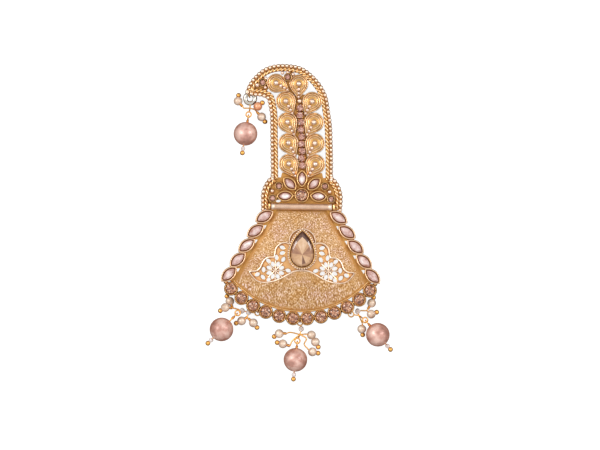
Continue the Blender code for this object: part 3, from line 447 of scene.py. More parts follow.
def mix(tree, factor, first, second, blend="MIX"):
    """Mixes two colours; each is a socket or a colour."""
    node = tree.nodes.new("ShaderNodeMix")
    node.data_type = "RGBA"
    node.blend_type = blend
    for key, value in ((0, factor), (6, first), (7, second)):
        if hasattr(value, "links"):
            tree.links.new(value, node.inputs[key])
        else:
            node.inputs[key].default_value = value
    return node.outputs[2]


def bump(tree, height, strength, distance):
    node = add_node(
        tree, "ShaderNodeBump", [("Strength", strength), ("Distance", distance)], [("Height", height)],
    )
    return node.outputs["Normal"]


def painted_hollow_shade(tree, reach, stops):
    """Painted shade, standing also for antique darkening in the hollows: a ramp from the places near other
    faces, darkened, to the open ones.
    """
    occlusion = add_node(tree, "ShaderNodeAmbientOcclusion", [("Distance", reach), ("samples", 8)])
    return ramp(tree, occlusion.outputs["AO"], stops)


def metal(name, skin, dark, roughness, shade_reach=0.0009, bump_strength=0.25):
    """Plated metal, darkened in its hollows by painted shade that stands also for antique darkening, with
    fine cast grain.

    The skin is one colour, or a table of stops that colours each face by its tone. Dark is the colour of
    the painted shade in the hollows.
    """
    made, tree, shader = new_material(name)
    worn = noise_of(tree, 420, 4)
    if isinstance(skin[0], tuple):
        faint = ramp(tree, worn, ((0.35, (0.88, 0.86, 0.84, 1)), (0.65, WHITE)))
        tint = mix(tree, 1.0, ramp(tree, attribute(tree, "tone"), skin), faint, "MULTIPLY")
    else:
        tint = ramp(tree, worn, ((0.35, darker(skin, 0.86)), (0.65, skin)))
    # Painted shade: darker where other faces are near
    deep = painted_hollow_shade(tree, shade_reach, ((0.25, dark), (0.85, WHITE)))
    tree.links.new(mix(tree, 1.0, tint, deep, "MULTIPLY"), shader.inputs["Base Color"])
    shader.inputs["Metallic"].default_value = 1.0
    limits = (("To Min", roughness * 0.75), ("To Max", roughness * 1.35))
    tree.links.new(map_range(tree, noise_of(tree, 900, 2), limits), shader.inputs["Roughness"])
    grain = bump(tree, noise_of(tree, 2600, 3), bump_strength, 0.00005)
    tree.links.new(grain, shader.inputs["Normal"])
    return made


def fan_metal():
    """Stippled rose gold with pale and brown specks; smooth on the bands and in the panel."""
    made, tree, shader = new_material("stippled_rose_gold")
    grain, recess, streak = (attribute(tree, key) for key in ("grain", "recess", "streak"))
    fine = noise_of(tree, 2300, 3)
    upright = noise_of(tree, 2200, 3, (1.1, 0.5, 1))
    marks = mix(tree, streak, fine, upright)
    specks = ramp(tree, marks, (
        (0.34, srgb(150, 106, 56)), (0.45, srgb(188, 145, 90)), (0.54, srgb(212, 177, 130)),
        (0.62, srgb(246, 224, 206)), (0.70, srgb(255, 250, 246)),
    ))
    patches = ramp(tree, noise_of(tree, 150, 3), (
        (0.36, srgb(244, 224, 190)), (0.5, srgb(245, 233, 217)), (0.64, srgb(243, 229, 231)),
    ))
    stippled = mix(tree, 1.0, specks, patches, "MULTIPLY")
    smooth_gold = ramp(tree, noise_of(tree, 300, 3), (
        (0.3, srgb(170, 114, 50)), (0.7, srgb(192, 138, 70)),
    ))
    colour = mix(tree, grain, smooth_gold, stippled)
    # Painted shade in the panel's recess: darker where other faces are near
    deep = painted_hollow_shade(tree, 0.0008, ((0.3, srgb(186, 116, 54)), (0.9, WHITE)))
    recessed = mix(tree, 1.0, srgb(226, 172, 112), deep, "MULTIPLY")
    tree.links.new(mix(tree, recess, colour, recessed), shader.inputs["Base Color"])
    shader.inputs["Metallic"].default_value = 0.35
    rough = map_range(tree, grain, (("To Min", 0.42), ("To Max", 0.5)))
    tree.links.new(rough, shader.inputs["Roughness"])
    tree.links.new(bump(tree, marks, 0.25, 0.0001), shader.inputs["Normal"])
    return made


def clouded_tone(tree, scale, spread):
    """The faces' tone, moved up and down by clouds."""
    links = [(0, noise_of(tree, scale, 2)), (2, attribute(tree, "tone"))]
    raised = add_node(tree, "ShaderNodeMath", [("operation", "MULTIPLY_ADD"), (1, spread)], links)
    settings = [("operation", "SUBTRACT"), (1, spread / 2)]
    return add_node(tree, "ShaderNodeMath", settings, [(0, raised.outputs[0])]).outputs[0]


def cut_stone(name, stops, roughness=0.06, coat=0.6):
    """A foiled stone: each facet has its own tone, a painted reflection from dark to light, under a clear
    polished surface.
    """
    made, tree, shader = new_material(name)
    tree.links.new(ramp(tree, clouded_tone(tree, 700, 0.24), stops), shader.inputs["Base Color"])
    set_inputs(shader, (
        ("Roughness", roughness), ("IOR", 1.6), ("Specular IOR Level", 0.7), ("Coat Weight", coat),
        ("Coat Roughness", 0.03),
    ))
    return made


def opal(name):
    """Milky pink stone with cream and mauve clouds, and brown painted shade on its edge where the metal
    wall stands round it.
    """
    made, tree, shader = new_material(name)
    colour = ramp(tree, clouded_tone(tree, 420, 1.5), (
        (0.04, srgb(164, 108, 80)), (0.26, srgb(184, 140, 130)), (0.48, srgb(216, 184, 178)),
        (0.68, srgb(228, 208, 202)), (0.9, srgb(252, 246, 244)),
    ))
    tree.links.new(colour, shader.inputs["Base Color"])
    set_inputs(shader, (
        ("Roughness", 0.12), ("Coat Weight", 0.7), ("Coat Roughness", 0.04), ("Subsurface Weight", 0.15),
        ("Subsurface Radius", (0.0006, 0.0004, 0.0004)),
    ))
    return made


def lacquer_pearl(name, light, dark, edge, scale, coat, roughness):
    """Pearl lacquer over a ball, faintly clouded, and with painted shade: warmer and darker as it turns
    down towards its underside.
    """
    made, tree, shader = new_material(name)
    skin = ramp(tree, noise_of(tree, scale, 4), ((0.28, darker(dark, 0.62)), (0.42, dark), (0.60, light)))
    # Painted shade: the edge colour where the surface faces sideways or down
    facing = add_node(tree, "ShaderNodeNewGeometry").outputs["Normal"]
    rise = add_node(tree, "ShaderNodeSeparateXYZ", links=[("Vector", facing)]).outputs["Z"]
    under = map_range(tree, rise, (("From Min", 0.05), ("From Max", 0.62)))
    tree.links.new(mix(tree, under, edge, skin), shader.inputs["Base Color"])
    set_inputs(shader, (
        ("Roughness", roughness), ("Metallic", 0.2), ("Coat Weight", coat), ("Coat Roughness", 0.27),
        ("Sheen Weight", 0.1),
    ))
    tree.links.new(bump(tree, noise_of(tree, 500, 2), 0.05, 0.0001), shader.inputs["Normal"])
    return made


def clear_glass(name):
    made, tree, shader = new_material(name)
    tint = ramp(tree, noise_of(tree, 900, 2), ((0.35, srgb(232, 216, 210)), (0.6, srgb(255, 253, 252))))
    tree.links.new(tint, shader.inputs["Base Color"])
    set_inputs(shader, (("Roughness", 0.05), ("Transmission Weight", 0.25), ("IOR", 1.5)))
    return made


# Shapes

def spoke(turn):
    """The flat unit vector at an angle from +X."""
    return Vector((math.cos(turn), math.sin(turn)))


def circle(centre, reach, first, second, count):
    """Points of a circle in the plane of two directions."""
    turns = [math.tau * k / count for k in range(count)]
    return [centre + reach * (first * math.cos(t) + second * math.sin(t)) for t in turns]


def heading(path, i):
    """The path's direction at one of its points."""
    return (path[min(i + 1, len(path) - 1)] - path[max(i - 1, 0)]).normalized()


def make_piece(name, mesh, finish, nodes, angle):
    """Makes the object, which rides on the one body and may stand for CAD nodes."""
    mesh.materials.append(finish)
    mesh.validate()
    mesh.shade_smooth()
    mesh.set_sharp_from_angle(angle=math.radians(angle))
    obj = bpy.data.objects.new(name, mesh)
    bpy.context.scene.collection.objects.link(obj)
    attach(obj, "root")
    if nodes:
        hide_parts(*nodes)


class Shape:
    """Points and faces of one piece, gathered before its mesh is made."""

    def __init__(self):
        self.points = []
        self.faces = []
        self.tones = []

    def add(self, points, faces, tone=0.5):
        start = len(self.points)
        self.points.extend(tuple(p) for p in points)
        self.faces.extend(tuple(i + start for i in face) for face in faces)
        tones = tone if isinstance(tone, (list, tuple)) else [tone] * len(faces)
        self.tones.extend(tones)

    def loft(self, rings, closed=False, caps=(True, True), tone=0.5):
        """Skins equal rings of points, capped at the ends unless closed on itself."""
        size = len(rings[0])
        faces = []
        spans = len(rings) if closed else len(rings) - 1
        for k in range(spans):
            low, high = k * size, (k + 1) % len(rings) * size
            for i in range(size):
                j = (i + 1) % size
                faces.append((low + i, low + j, high + j, high + i))
        if not closed and caps[0]:
            faces.append(tuple(reversed(range(size))))
        if not closed and caps[1]:
            last = (len(rings) - 1) * size
            faces.append(tuple(range(last, last + size)))
        self.add([p for ring in rings for p in ring], faces, tone)

    def ball(self, centre, diameter, sides=16, levels=10):
        rings = []
        for k in range(1, levels):
            turn = math.pi * k / levels
            reach, rise = diameter / 2 * math.sin(turn), -diameter / 2 * math.cos(turn)
            rings.append([centre + Vector((
                reach * math.cos(math.tau * i / sides), reach * math.sin(math.tau * i / sides), rise,
            )) for i in range(sides)])
        points = [p for ring in rings for p in ring]
        count = len(points)
        points += [centre - UP * diameter / 2, centre + UP * diameter / 2]
        faces = []
        for k in range(levels - 2):
            for i in range(sides):
                j = (i + 1) % sides
                low, high = k * sides, (k + 1) * sides
                faces.append((low + i, low + j, high + j, high + i))
        last = (levels - 2) * sides
        for i in range(sides):
            j = (i + 1) % sides
            faces.append((count, j, i))
            faces.append((count + 1, last + i, last + j))
        self.add(points, faces)

    def tube(self, points, diameter, sides=10, closed=False):
        """A round wire along a path, with a frame that doesn't twist."""
        rings = []
        side = None
        count = len(points)
        for i, point in enumerate(points):
            before = points[i - 1] if i or closed else point
            after = points[(i + 1) % count] if i + 1 < count or closed else point
            along = (after - before).normalized()
            if side is None:
                side = along.cross(UP if abs(along.z) < 0.9 else Vector((1, 0, 0))).normalized()
            side = (side - along * side.dot(along)).normalized()
            rings.append(circle(point, diameter / 2, side, side.cross(along), sides))
        self.loft(rings, closed)

    def torus(self, centre, diameter, wire, normal, sides=40, wire_sides=12):
        first = normal.orthogonal().normalized()
        second = normal.cross(first).normalized()
        self.tube(circle(centre, diameter / 2, first, second, sides), wire, wire_sides, closed=True)

    def profile(self, outline_at, steps, tone=0.5, caps=(True, True)):
        """Rings from outline_at(grow), one for each (grow, height) step."""
        self.loft([[(p.x, p.y, z) for p in outline_at(grow)] for grow, z in steps], caps=caps, tone=tone)

    def piece(self, name, finish, slot="antique_gold", nodes=(), angle=40):
        mesh = bpy.data.meshes.new(name)
        mesh.from_pydata(self.points, [], self.faces)
        tones = mesh.attributes.new("tone", "FLOAT", "FACE")
        tones.data.foreach_set("value", np.array(self.tones, np.float32))
        make_piece(name, mesh, finish, nodes, angle)


def lens(size, grow=0.0, steps=14):
    """A marquise outline of two arcs; grow moves the arcs outwards."""
    half_length, half_width = size[0] / 2, size[1] / 2
    radius = (half_length**2 + half_width**2) / (2 * half_width)
    drop = radius - half_width
    tip = math.sqrt(max((radius + grow) ** 2 - drop**2, 0))
    points = []
    for k in range(2 * steps):
        x = tip * math.cos(math.pi * k / steps)
        y = math.sqrt(max((radius + grow) ** 2 - x**2, 0)) - drop
        points.append(Vector((x, y if k <= steps else -y)))
    return points


def disc(diameter, grow=0.0, sides=32):
    radius = diameter / 2 + grow
    turns = [math.tau * k / sides for k in range(sides)]
    return [Vector((radius * math.cos(t), radius * math.sin(t))) for t in turns]


def teardrop(diameter, tail, grow=0.0, steps=30):
    """A round head about the origin and a pointed tail along +X."""
    lean = math.acos(diameter / 2 / tail)
    radius = diameter / 2 + grow
    points = [Vector((tail * radius / (diameter / 2), 0.0))]
    for k in range(steps + 1):
        turn = lean + (math.tau - 2 * lean) * k / steps
        points.append(Vector((radius * math.cos(turn), radius * math.sin(turn))))
    return points


def pear_shape(grow=0.0, steps=24):
    """A half circle about the origin, drawn out along +X by two arcs that meet in a point."""
    radius, tail = PEAR_WIDTH / 2, PEAR_LENGTH - PEAR_WIDTH / 2
    side_radius = (tail**2 + radius**2) / (2 * radius)
    drop = side_radius - radius
    tip = math.sqrt((side_radius + grow) ** 2 - drop**2)
    above = []
    for k in range(steps):
        x = tip * (1 - k / steps)
        above.append(Vector((x, math.sqrt((side_radius + grow) ** 2 - x**2) - drop)))
    turns = [math.pi / 2 + math.pi * k / (2 * steps) for k in range(2 * steps + 1)]
    head = [(radius + grow) * spoke(t) for t in turns]
    below = [Vector((p.x, -p.y)) for p in above[:0:-1]]
    return above + head + below


def placed(outline, centre, turn=0.0):
    c, s = math.cos(turn), math.sin(turn)
    return [Vector((p.x * c - p.y * s + centre.x, p.x * s + p.y * c + centre.y)) for p in outline]


def smooth(points, per_span, closed=False):
    """A curve that passes through the points of a route."""
    if closed:
        ends = [points[-1], *points, points[0], points[1]]
    else:
        ends = [points[0] * 2 - points[1], *points, points[-1] * 2 - points[-2]]
    curve = []
    for a, b, c, d in zip(ends, ends[1:], ends[2:], ends[3:]):
        for step in range(per_span):
            t = step / per_span
            curve.append(0.5 * (
                2 * b + (c - a) * t + (2 * a - 5 * b + 4 * c - d) * t**2
                + (3 * b - a - 3 * c + d) * t**3
            ))
    if not closed:
        curve.append(points[-1])
    return curve


def resample(path, pitch, closed=False):
    """Points at equal steps along a path, the step nearest to the pitch that divides its length."""
    route = [*path, path[0]] if closed else list(path)
    lengths = [(b - a).length for a, b in zip(route, route[1:])]
    total = sum(lengths)
    count = max(2, round(total / pitch))
    found = []
    reached, index = 0.0, 0
    for k in range(count if closed else count + 1):
        target = total * k / count
        while index < len(lengths) - 1 and reached + lengths[index] < target:
            reached += lengths[index]
            index += 1
        share = min(1.0, (target - reached) / lengths[index])
        found.append(route[index].lerp(route[index + 1], share))
    return found


def offset_path(path, distance):
    """The path moved to its right."""
    moved = []
    for i, point in enumerate(path):
        along = heading(path, i)
        moved.append(point + Vector((along.y, -along.x)) * distance)
    return moved


def strip(shape, path, section):
    """Sweeps a section of (offset to the right, height) along a flat path."""
    rings = []
    for i, point in enumerate(path):
        along = heading(path, i)
        right = Vector((along.y, -along.x))
        rings.append([(*(point + right * offset), height) for offset, height in section])
    shape.loft(rings)


# Outlines of the ornament

def plume_point(across, up):
    if across < -1:
        x = -PLUME_HALF_WIDTH + (across + 1) * HOOK_OVERHANG
    else:
        x = across * PLUME_HALF_WIDTH
    return Vector((x, PLUME_FOOT_Y + up * PLUME_HEIGHT))


def x_at(path, y):
    """Where a rail's path crosses a height; the last crossing counts."""
    found = path[0].x
    for a, b in zip(path, path[1:]):
        if min(a.y, b.y) <= y <= max(a.y, b.y) and a.y != b.y:
            found = a.x + (b.x - a.x) * (y - a.y) / (b.y - a.y)
    return found


def dome_path(side):
    centre_x = DOME_HALF_WIDTH - DOME_SHOULDER_RADIUS
    reach = DOME_HALF_WIDTH - centre_x
    end = math.acos((PLUME_HALF_WIDTH - centre_x) / reach)
    rise = (PLUME_FOOT_Y + BEAD_RAIL_WIDTH / 2 - DOME_SHOULDER_Y) / math.sin(end)
    points = [Vector((side * (DOME_HALF_WIDTH - SOLDER_SINK), DOME_FOOT_Y))]
    for k in range(13):
        turn = end * k / 12
        x = centre_x + reach * math.cos(turn)
        points.append(Vector((side * x, DOME_SHOULDER_Y + rise * math.sin(turn))))
    return points


def spine_x(y):
    share = (y - PLUME_FOOT_Y) / (PETAL_COLUMN * PLUME_HEIGHT)
    return -SPINE_LEAN * share * abs(share)


def fan_edge(share):
    return FAN_TOP_HALF_WIDTH + (FAN_BOTTOM_HALF_WIDTH - FAN_TOP_HALF_WIDTH) * share


def rim_y(x):
    return RIM_CENTRE_Y - np.sqrt(RIM_RADIUS**2 - x**2)


def fan_shares(x, y):
    """Across and down shares of places on the fan, found by repeated correction."""
    across, down = np.zeros_like(x), np.full_like(x, 0.5)
    for _ in range(12):
        across = np.clip(x / fan_edge(down), -1.0, 1.0)
        down = np.clip(y / rim_y(across * FAN_BOTTOM_HALF_WIDTH), 0.0, 1.0)
    return across, down


def fan_height(x, y):
    across, down = fan_shares(x, y)
    return PLATE_TOP + FAN_RISE * (1 - across**2) * (1 - (2 * down - 1) ** 2)


def fan_height_at(point):
    return float(fan_height(np.array([point.x]), np.array([point.y]))[0])


def rim_place(turn, beyond):
    """A place beyond the rim, at an angle from straight down, positive to the right."""
    reach = RIM_RADIUS + beyond
    return Vector((reach * math.sin(turn), RIM_CENTRE_Y - reach * math.cos(turn)))


def round_row():
    """How many rounds fit between the fan's corners, and the angle from each to the next."""
    reach = RIM_RADIUS + ROUND_CLEAR_OF_RIM
    whole = 2 * (math.asin(FAN_BOTTOM_HALF_WIDTH / RIM_RADIUS) - ROUND_END / reach)
    steps = round(whole * reach / ROUND_PITCH)
    return steps + 1, whole / steps


def round_turn(number):
    """Angle of a rim round, counted from the left; halves lie between two rounds."""
    count, step = round_row()
    return (number - (count - 1) / 2) * step


def rim_arc(count, beyond=0.0):
    half_turn = math.asin(FAN_BOTTOM_HALF_WIDTH / RIM_RADIUS)
    return [rim_place(half_turn * (2 * k / (count - 1) - 1), beyond) for k in range(count)]


def panel_point(across, down, side=1):
    y = PANEL_TOP_Y + down * (PANEL_BOTTOM_Y - PANEL_TOP_Y)
    return Vector((PEAR_X + side * across * PANEL_HALF_WIDTH, y))


def panel_loop():
    right = [panel_point(a, d) for a, d in PANEL_OUTLINE]
    left = [panel_point(a, d, -1) for a, d in PANEL_OUTLINE[1:-1]]
    return right + left[::-1]


def piercing_places():
    """Centre and turn of the holes round each burst and of the others in the scallops."""
    places = []
    for side in (-1, 1):
        burst = panel_point(*BURST_CENTRE, side)
        for k in range(BURST_PIERCINGS):
            turn = math.tau * (k + 0.5) / BURST_PIERCINGS
            places.append((burst + spoke(turn) * BURST_RADIUS, turn))
        for across, down, degrees in OUTER_PIERCINGS:
            turn = math.radians(degrees if side > 0 else 180 - degrees)
            places.append((panel_point(across, down, side), turn))
    return places


def navette_places():
    """Centre and tilt of the right side's navettes, from the first at the top."""
    run = Vector((FAN_BOTTOM_HALF_WIDTH - FAN_TOP_HALF_WIDTH, float(rim_y(FAN_BOTTOM_HALF_WIDTH))))
    along = run.normalized()
    out = Vector((-along.y, along.x))
    edge_y = NAVETTE_FIRST_Y - out.y * NAVETTE_CLEAR_OF_FAN
    edge = Vector((fan_edge(edge_y / run.y), edge_y))
    places = []
    for i in range(SIDE_NAVETTES):
        share = i / (SIDE_NAVETTES - 1)
        tilt = NAVETTE_FIRST_TILT + (NAVETTE_LAST_TILT - NAVETTE_FIRST_TILT) * share
        places.append((edge + out * NAVETTE_CLEAR_OF_FAN + along * NAVETTE_PITCH * i, -tilt))
    return places


def mirrored(place, turn, side):
    return Vector((side * place.x, place.y)), turn if side > 0 else math.pi - turn


def node_middle(node):
    """Flat centre of a CAD node's box and its lowest height."""
    low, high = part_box(node)
    return Vector(((low.x + high.x) / 2, (low.y + high.y) / 2)), low.z


# Plates cut from a net of triangles

def inside(points, loop):
    """Which of the points, an array of x and y, lie in a closed loop."""
    x, y = points[:, 0], points[:, 1]
    found = np.zeros(len(points), bool)
    for a, b in zip(loop, loop[1:] + loop[:1]):
        crosses = (a.y > y) != (b.y > y)
        with np.errstate(divide="ignore", invalid="ignore"):
            reach = a.x + (y - a.y) * (b.x - a.x) / (b.y - a.y)
        found ^= crosses & (x < reach)
    return found


def net(outline, loops, holes, filling):
    """Triangles inside an outline, with loops as edges and holes left out: points and faces."""
    points, edges = [], []
    for loop in [outline, *loops, *holes]:
        start = len(points)
        points += [Vector((p.x / MM, p.y / MM)) for p in loop]
        edges += [(start + i, start + (i + 1) % len(loop)) for i in range(len(loop))]
    points += [Vector((x / MM, y / MM)) for x, y in filling]
    flat_points, _, faces, *_ = delaunay_2d_cdt(points, edges, [], 0, 1e-6)
    flat_points = np.array([(p.x, p.y) for p in flat_points]) * MM
    faces = np.array(faces)
    middles = flat_points[faces].mean(axis=1)
    keep = inside(middles, outline)
    for hole in holes:
        keep &= ~inside(middles, hole)
    return flat_points, faces[keep]


def plate_piece(name, points, top, thickness, faces, finish, attributes=(), nodes=(), angle=60):
    """A sheet with an upper face at the given heights, an under face and walls at every edge."""
    used, faces = np.unique(faces, return_inverse=True)
    faces = faces.reshape(-1, 3)
    points, top, thickness = points[used], top[used], thickness[used]
    a, b, c = (points[faces[:, k]] for k in range(3))
    turned = (b[:, 0] - a[:, 0]) * (c[:, 1] - a[:, 1]) - (b[:, 1] - a[:, 1]) * (c[:, 0] - a[:, 0]) < 0
    faces[turned] = faces[turned][:, ::-1]
    count = len(points)
    sides = np.concatenate([faces[:, [0, 1]], faces[:, [1, 2]], faces[:, [2, 0]]])
    known = {tuple(pair) for pair in sides.tolist()}
    walls = [(j, i, i + count, j + count) for i, j in known if (j, i) not in known]
    upper = np.column_stack([points, top])
    lower = np.column_stack([points, top - thickness])
    mesh = bpy.data.meshes.new(name)
    every = faces.tolist() + (faces[:, ::-1] + count).tolist() + walls
    mesh.from_pydata(np.concatenate([upper, lower]).tolist(), [], every)
    for key, values in attributes:
        made = mesh.attributes.new(key, "FLOAT", "POINT")
        made.data.foreach_set("value", np.tile(values[used], 2).astype(np.float32))
    make_piece(name, mesh, finish, nodes, angle)


def flat_plate(name, outline, holes, low, high, finish):
    """A plain plate of even thickness with holes."""
    points, faces = net(outline, [], holes, [])
    top = np.full(len(points), high)
    plate_piece(name, points, top, np.full(len(points), high - low), faces, finish, angle=30)


# Rails

def rope_rings(path):
    """A rope of strands laid round each other: lobed rings that turn along the path, and their tones, which
    paint shade in the grooves and light on the strands' crowns.
    """
    radius = ROPE_RAIL_WIDTH / 2
    rings, tones = [], []
    length = 0.0
    for i, point in enumerate(path):
        along = heading(path, i)
        right = Vector((along.y, -along.x, 0))
        if i:
            length += (point - path[i - 1]).length
        centre = Vector((point.x, point.y, LOW + RAIL_HEIGHT - SOLDER_SINK - radius))
        ring = []
        for k in range(ROPE_SIDES):
            turn = math.tau * k / ROPE_SIDES
            lobe = abs(math.cos(ROPE_STRANDS / 2 * (turn - math.tau * length / ROPE_LAY)))
            reach = radius * (0.60 + 0.40 * lobe**0.7)
            ring.append(centre + reach * (right * math.cos(turn) + UP * math.sin(turn)))
            if i + 1 < len(path):
                tones.append(lobe)
        rings.append(ring)
    return rings, tones + [0.5, 0.5]


def build_rails(paths, finishes):
    channels, balls, ropes = Shape(), Shape(), Shape()
    top = LOW + RAIL_HEIGHT
    bed = PLATE_TOP + SOLDER_SINK
    foot = METAL_BACK + SOLDER_SINK / 2
    outer, inner = BEAD_RAIL_WIDTH / 2 * CHANNEL_REACH[0], -ROPE_INNER_EDGE * CHANNEL_REACH[1]
    section = ((outer, foot), (outer, bed), (inner, bed), (inner, foot))
    for path in paths:
        strip(channels, resample(path, RAIL_STEP), section)
        for point in resample(path, RAIL_BALL_PITCH):
            centre = Vector((point.x, point.y, top - RAIL_BALL_DIAMETER / 2))
            balls.ball(centre, RAIL_BALL_DIAMETER, 14, 9)
        rope = offset_path(path, -BEAD_RAIL_WIDTH / 2 - ROPE_RAIL_WIDTH / 2)
        rings, tones = rope_rings(resample(rope, ROPE_STEP))
        ropes.loft(rings, tone=tones)
    channels.piece("rail_channels", finishes["deep"])
    balls.piece("rail_balls", finishes["cream"])
    ropes.piece("rail_ropes", finishes["rope"], angle=70)


# Petals

def petal_rise(inset):
    """Height of a petal's smooth crown over its foot at an inset from its edge."""
    wall = PETAL_WALL * PETAL_HEIGHT
    return wall + (PETAL_HEIGHT - wall) * (1 - (1 - min(1.0, inset / PETAL_CROWN)) ** 2)


def petal_steps():
    """Insets, extra heights and face tones from a petal's edge over its wire ridges to its middle; the
    tones are painted light and shade.
    """
    steps = [(0.0, -0.08 * PETAL_HEIGHT, 0.4)]
    for middle in PETAL_RIDGES:
        for share, rise, tone in RIDGE_SECTION:
            steps.append((middle + share * PETAL_RIDGE_HALF, rise * PETAL_HEIGHT, tone))
    return steps + [(inset, 0.0, tone) for inset, tone in PETAL_MIDDLE]


def build_petal(body, balls, centre, diameter, tail, turn):
    rings = [(0.0, LOW)]
    tones = [0.2]
    for inset, extra, tone in petal_steps():
        rings.append((-inset * diameter / 2, LOW + petal_rise(inset) + extra))
        tones.append(tone)
    outline_at = stone_outline(lambda grow: teardrop(diameter, tail, grow), centre, turn)
    size = len(outline_at(0.0))
    spread = [tone for tone in tones[:-1] for _ in range(size)] + [0.2, 0.6]
    body.profile(outline_at, rings, tone=spread)
    for share, size in PETAL_BALLS:
        place = centre + spoke(turn) * tail * share
        height = LOW + petal_rise(1 - share) + size * PETAL_BALL_RISE
        balls.ball(Vector((*place, height)), size, 16, 10)


def build_petals(arch, neck, finishes):
    body, balls = Shape(), Shape()
    pitch = PETAL_COLUMN * PLUME_HEIGHT / (PETALS_PER_SIDE - PETAL_OVERLAP)
    for side, path in ((1, arch), (-1, neck)):
        for i in range(PETALS_PER_SIDE):
            y = PLUME_FOOT_Y + pitch * (i + PETAL_LEAD)
            inner = spine_x(y) + side * SPINE_WIDTH / 2
            outer = x_at(path, y) - side * (ROPE_INNER_EDGE - BEAD_RAIL_WIDTH / 4)
            diameter = min(abs(outer - inner) + SOLDER_SINK, PETAL_WIDEST * PLUME_HALF_WIDTH)
            turn = -math.pi / 2 - side * PETAL_TAIL_ANGLE
            centre = Vector((inner + side * (diameter - SOLDER_SINK) / 2, y))
            build_petal(body, balls, centre, diameter, PETAL_TAIL * diameter, turn)
    for across, up, turn in CREST_PETALS:
        diameter = 2 * CREST_PETAL_RADIUS
        build_petal(body, balls, plume_point(across, up), diameter, PETAL_TAIL * diameter, turn)
    body.piece("petals", finishes["petal"], angle=75)
    balls.piece("petal_balls", finishes["silver_pink"])


# Stones and their settings

def brilliant(shape, outline_at, low, height, seed, sides):
    """A round or oval cut: girdle, two rows of crown facets, and a table that shows the back facets."""
    random = np.random.RandomState(seed)
    girdle = outline_at(0.0)
    step = len(girdle) // sides
    centre = sum(girdle, Vector((0, 0))) / len(girdle)

    def ring(share, z, half):
        """Corners at a share of the way to the girdle, between the others where half is 1."""
        corners = [girdle[(step * i + half * step // 2) % len(girdle)] for i in range(sides)]
        return [Vector((*centre.lerp(p, share), low + height * z)) for p in corners]

    foot, waist, belt = ring(0.80, 0.0, 0), ring(1.0, 0.40, 0), ring(1.0, 0.55, 0)
    crown, edge = ring(0.84, 0.80, 1), ring(BRILLIANT_TABLE, 1.0, 0)
    heart = ring(BRILLIANT_TABLE * 0.45, 1.0, 1)
    shape.loft([foot, waist, belt], caps=(True, False), tone=0.3)
    faces = []
    for i in range(sides):
        j = (i + 1) % sides
        c, e, h = sides, 2 * sides, 3 * sides
        faces += [
            (i, j, c + i), (c + i, j, c + j), (c + i, e + j, e + i), (c + i, c + j, e + j),
            (e + i, e + j, h + i), (h + i, e + j, h + j), (h + i, h + j, 4 * sides),
        ]
    points = belt + crown + edge + heart + [Vector((*centre, low + height))]
    # Each facet gets a random tone: painted reflections
    shape.add(points, faces, [random.rand() for _ in faces])


def cabochon_cut(shape, outline_at, low, width, seed):
    """A marquise with a soft crown: a sloping row of facets round a slightly domed table."""
    random = np.random.RandomState(seed)
    steps = [(-0.06 * width, 0.0), (0.0, 0.35), (0.0, 0.5), (-0.07 * width, 0.70), (-0.25 * width, 0.94)]
    rings = [[Vector((p.x, p.y, low + NAVETTE_CUT * z)) for p in outline_at(grow)] for grow, z in steps]
    # Tones: painted shade on the stone's edge, painted light on the sloping facets and more on the table
    shape.loft(rings[:-1], caps=(True, False), tone=-0.2)
    shape.loft(rings[-2:], caps=(False, False), tone=float(0.36 + 0.1 * random.rand()))
    middle = sum(rings[-1], Vector()) / len(rings[-1])
    inner = [middle.lerp(p, 0.5) + UP * 0.04 * NAVETTE_CUT for p in rings[-1]]
    shape.loft([rings[-1], inner], caps=(False, True), tone=float(0.5 + 0.2 * random.rand()))


def bezel(shape, outline_at, base, wall):
    """A rounded wall round a stone, with its inner side going down to the seat."""
    top = base + BEZEL_HEIGHT
    outer, soft = FIT_GAP + wall, wall * 0.25
    shape.profile(outline_at, [
        (outer, base), (outer, top - soft * 2.2), (outer - soft * 0.4, top - soft * 0.9),
        (outer - soft * 1.2, top - soft * 0.2), (outer - soft * 2.0, top),
        (FIT_GAP + soft * 0.9, top - soft * 0.3), (FIT_GAP + soft * 0.2, top - soft * 1.0),
        (FIT_GAP, top - soft * 2.0), (FIT_GAP, top - SEAT_DEPTH),
    ], caps=(True, False))


def setting(walls, seats, outline_at, base, wall):
    """A stone's wall, and the floor and lining seen between the two: a sheet put there to show the painted
    shadow in that gap.
    """
    bezel(walls, outline_at, base, wall)
    top = base + BEZEL_HEIGHT
    seats.profile(outline_at, [
        (FIT_GAP + SOLDER_SINK / 2, top - 0.00022), (FIT_GAP - 0.00004, top - 0.00024),
        (FIT_GAP - 0.00005, top - SEAT_DEPTH), (-0.0004, top - SEAT_DEPTH - 0.0001),
    ], caps=(False, True))


def claws(shape, centre, diameter, height, turn=0.0):
    """Four little balls that hold a round stone."""
    for k in range(4):
        out = spoke(math.pi / 4 + k * math.pi / 2 + turn)
        corner = centre + out * (diameter / 2 + CLAW_CLEAR)
        shape.ball(Vector((*corner, height)), CLAW_DIAMETER, 10, 7)


def stone_outline(shape_at, centre, turn=0.0):
    return lambda grow: placed(shape_at(grow), centre, turn)


def set_navette(walls, seats, node, size, centre, turn, base, seed, finish):
    """A marquise stone in its wall and seat."""
    outline = stone_outline(lambda grow: lens(size, grow), centre, turn)
    setting(walls, seats, outline, base, NAVETTE_WALL)
    stone = Shape()
    cabochon_cut(stone, outline, node_middle(node)[1], size[1], seed)
    stone.piece(node + "_cut", finish, "opal_stone", [node], angle=22)


def cut_round(node, outline, seed, sides, finish, slot):
    """A round stone with facets."""
    stone = Shape()
    brilliant(stone, outline, node_middle(node)[1], ROUND_CUT, seed, sides)
    stone.piece(node + "_cut", finish, slot, [node], angle=FACET_ANGLE)


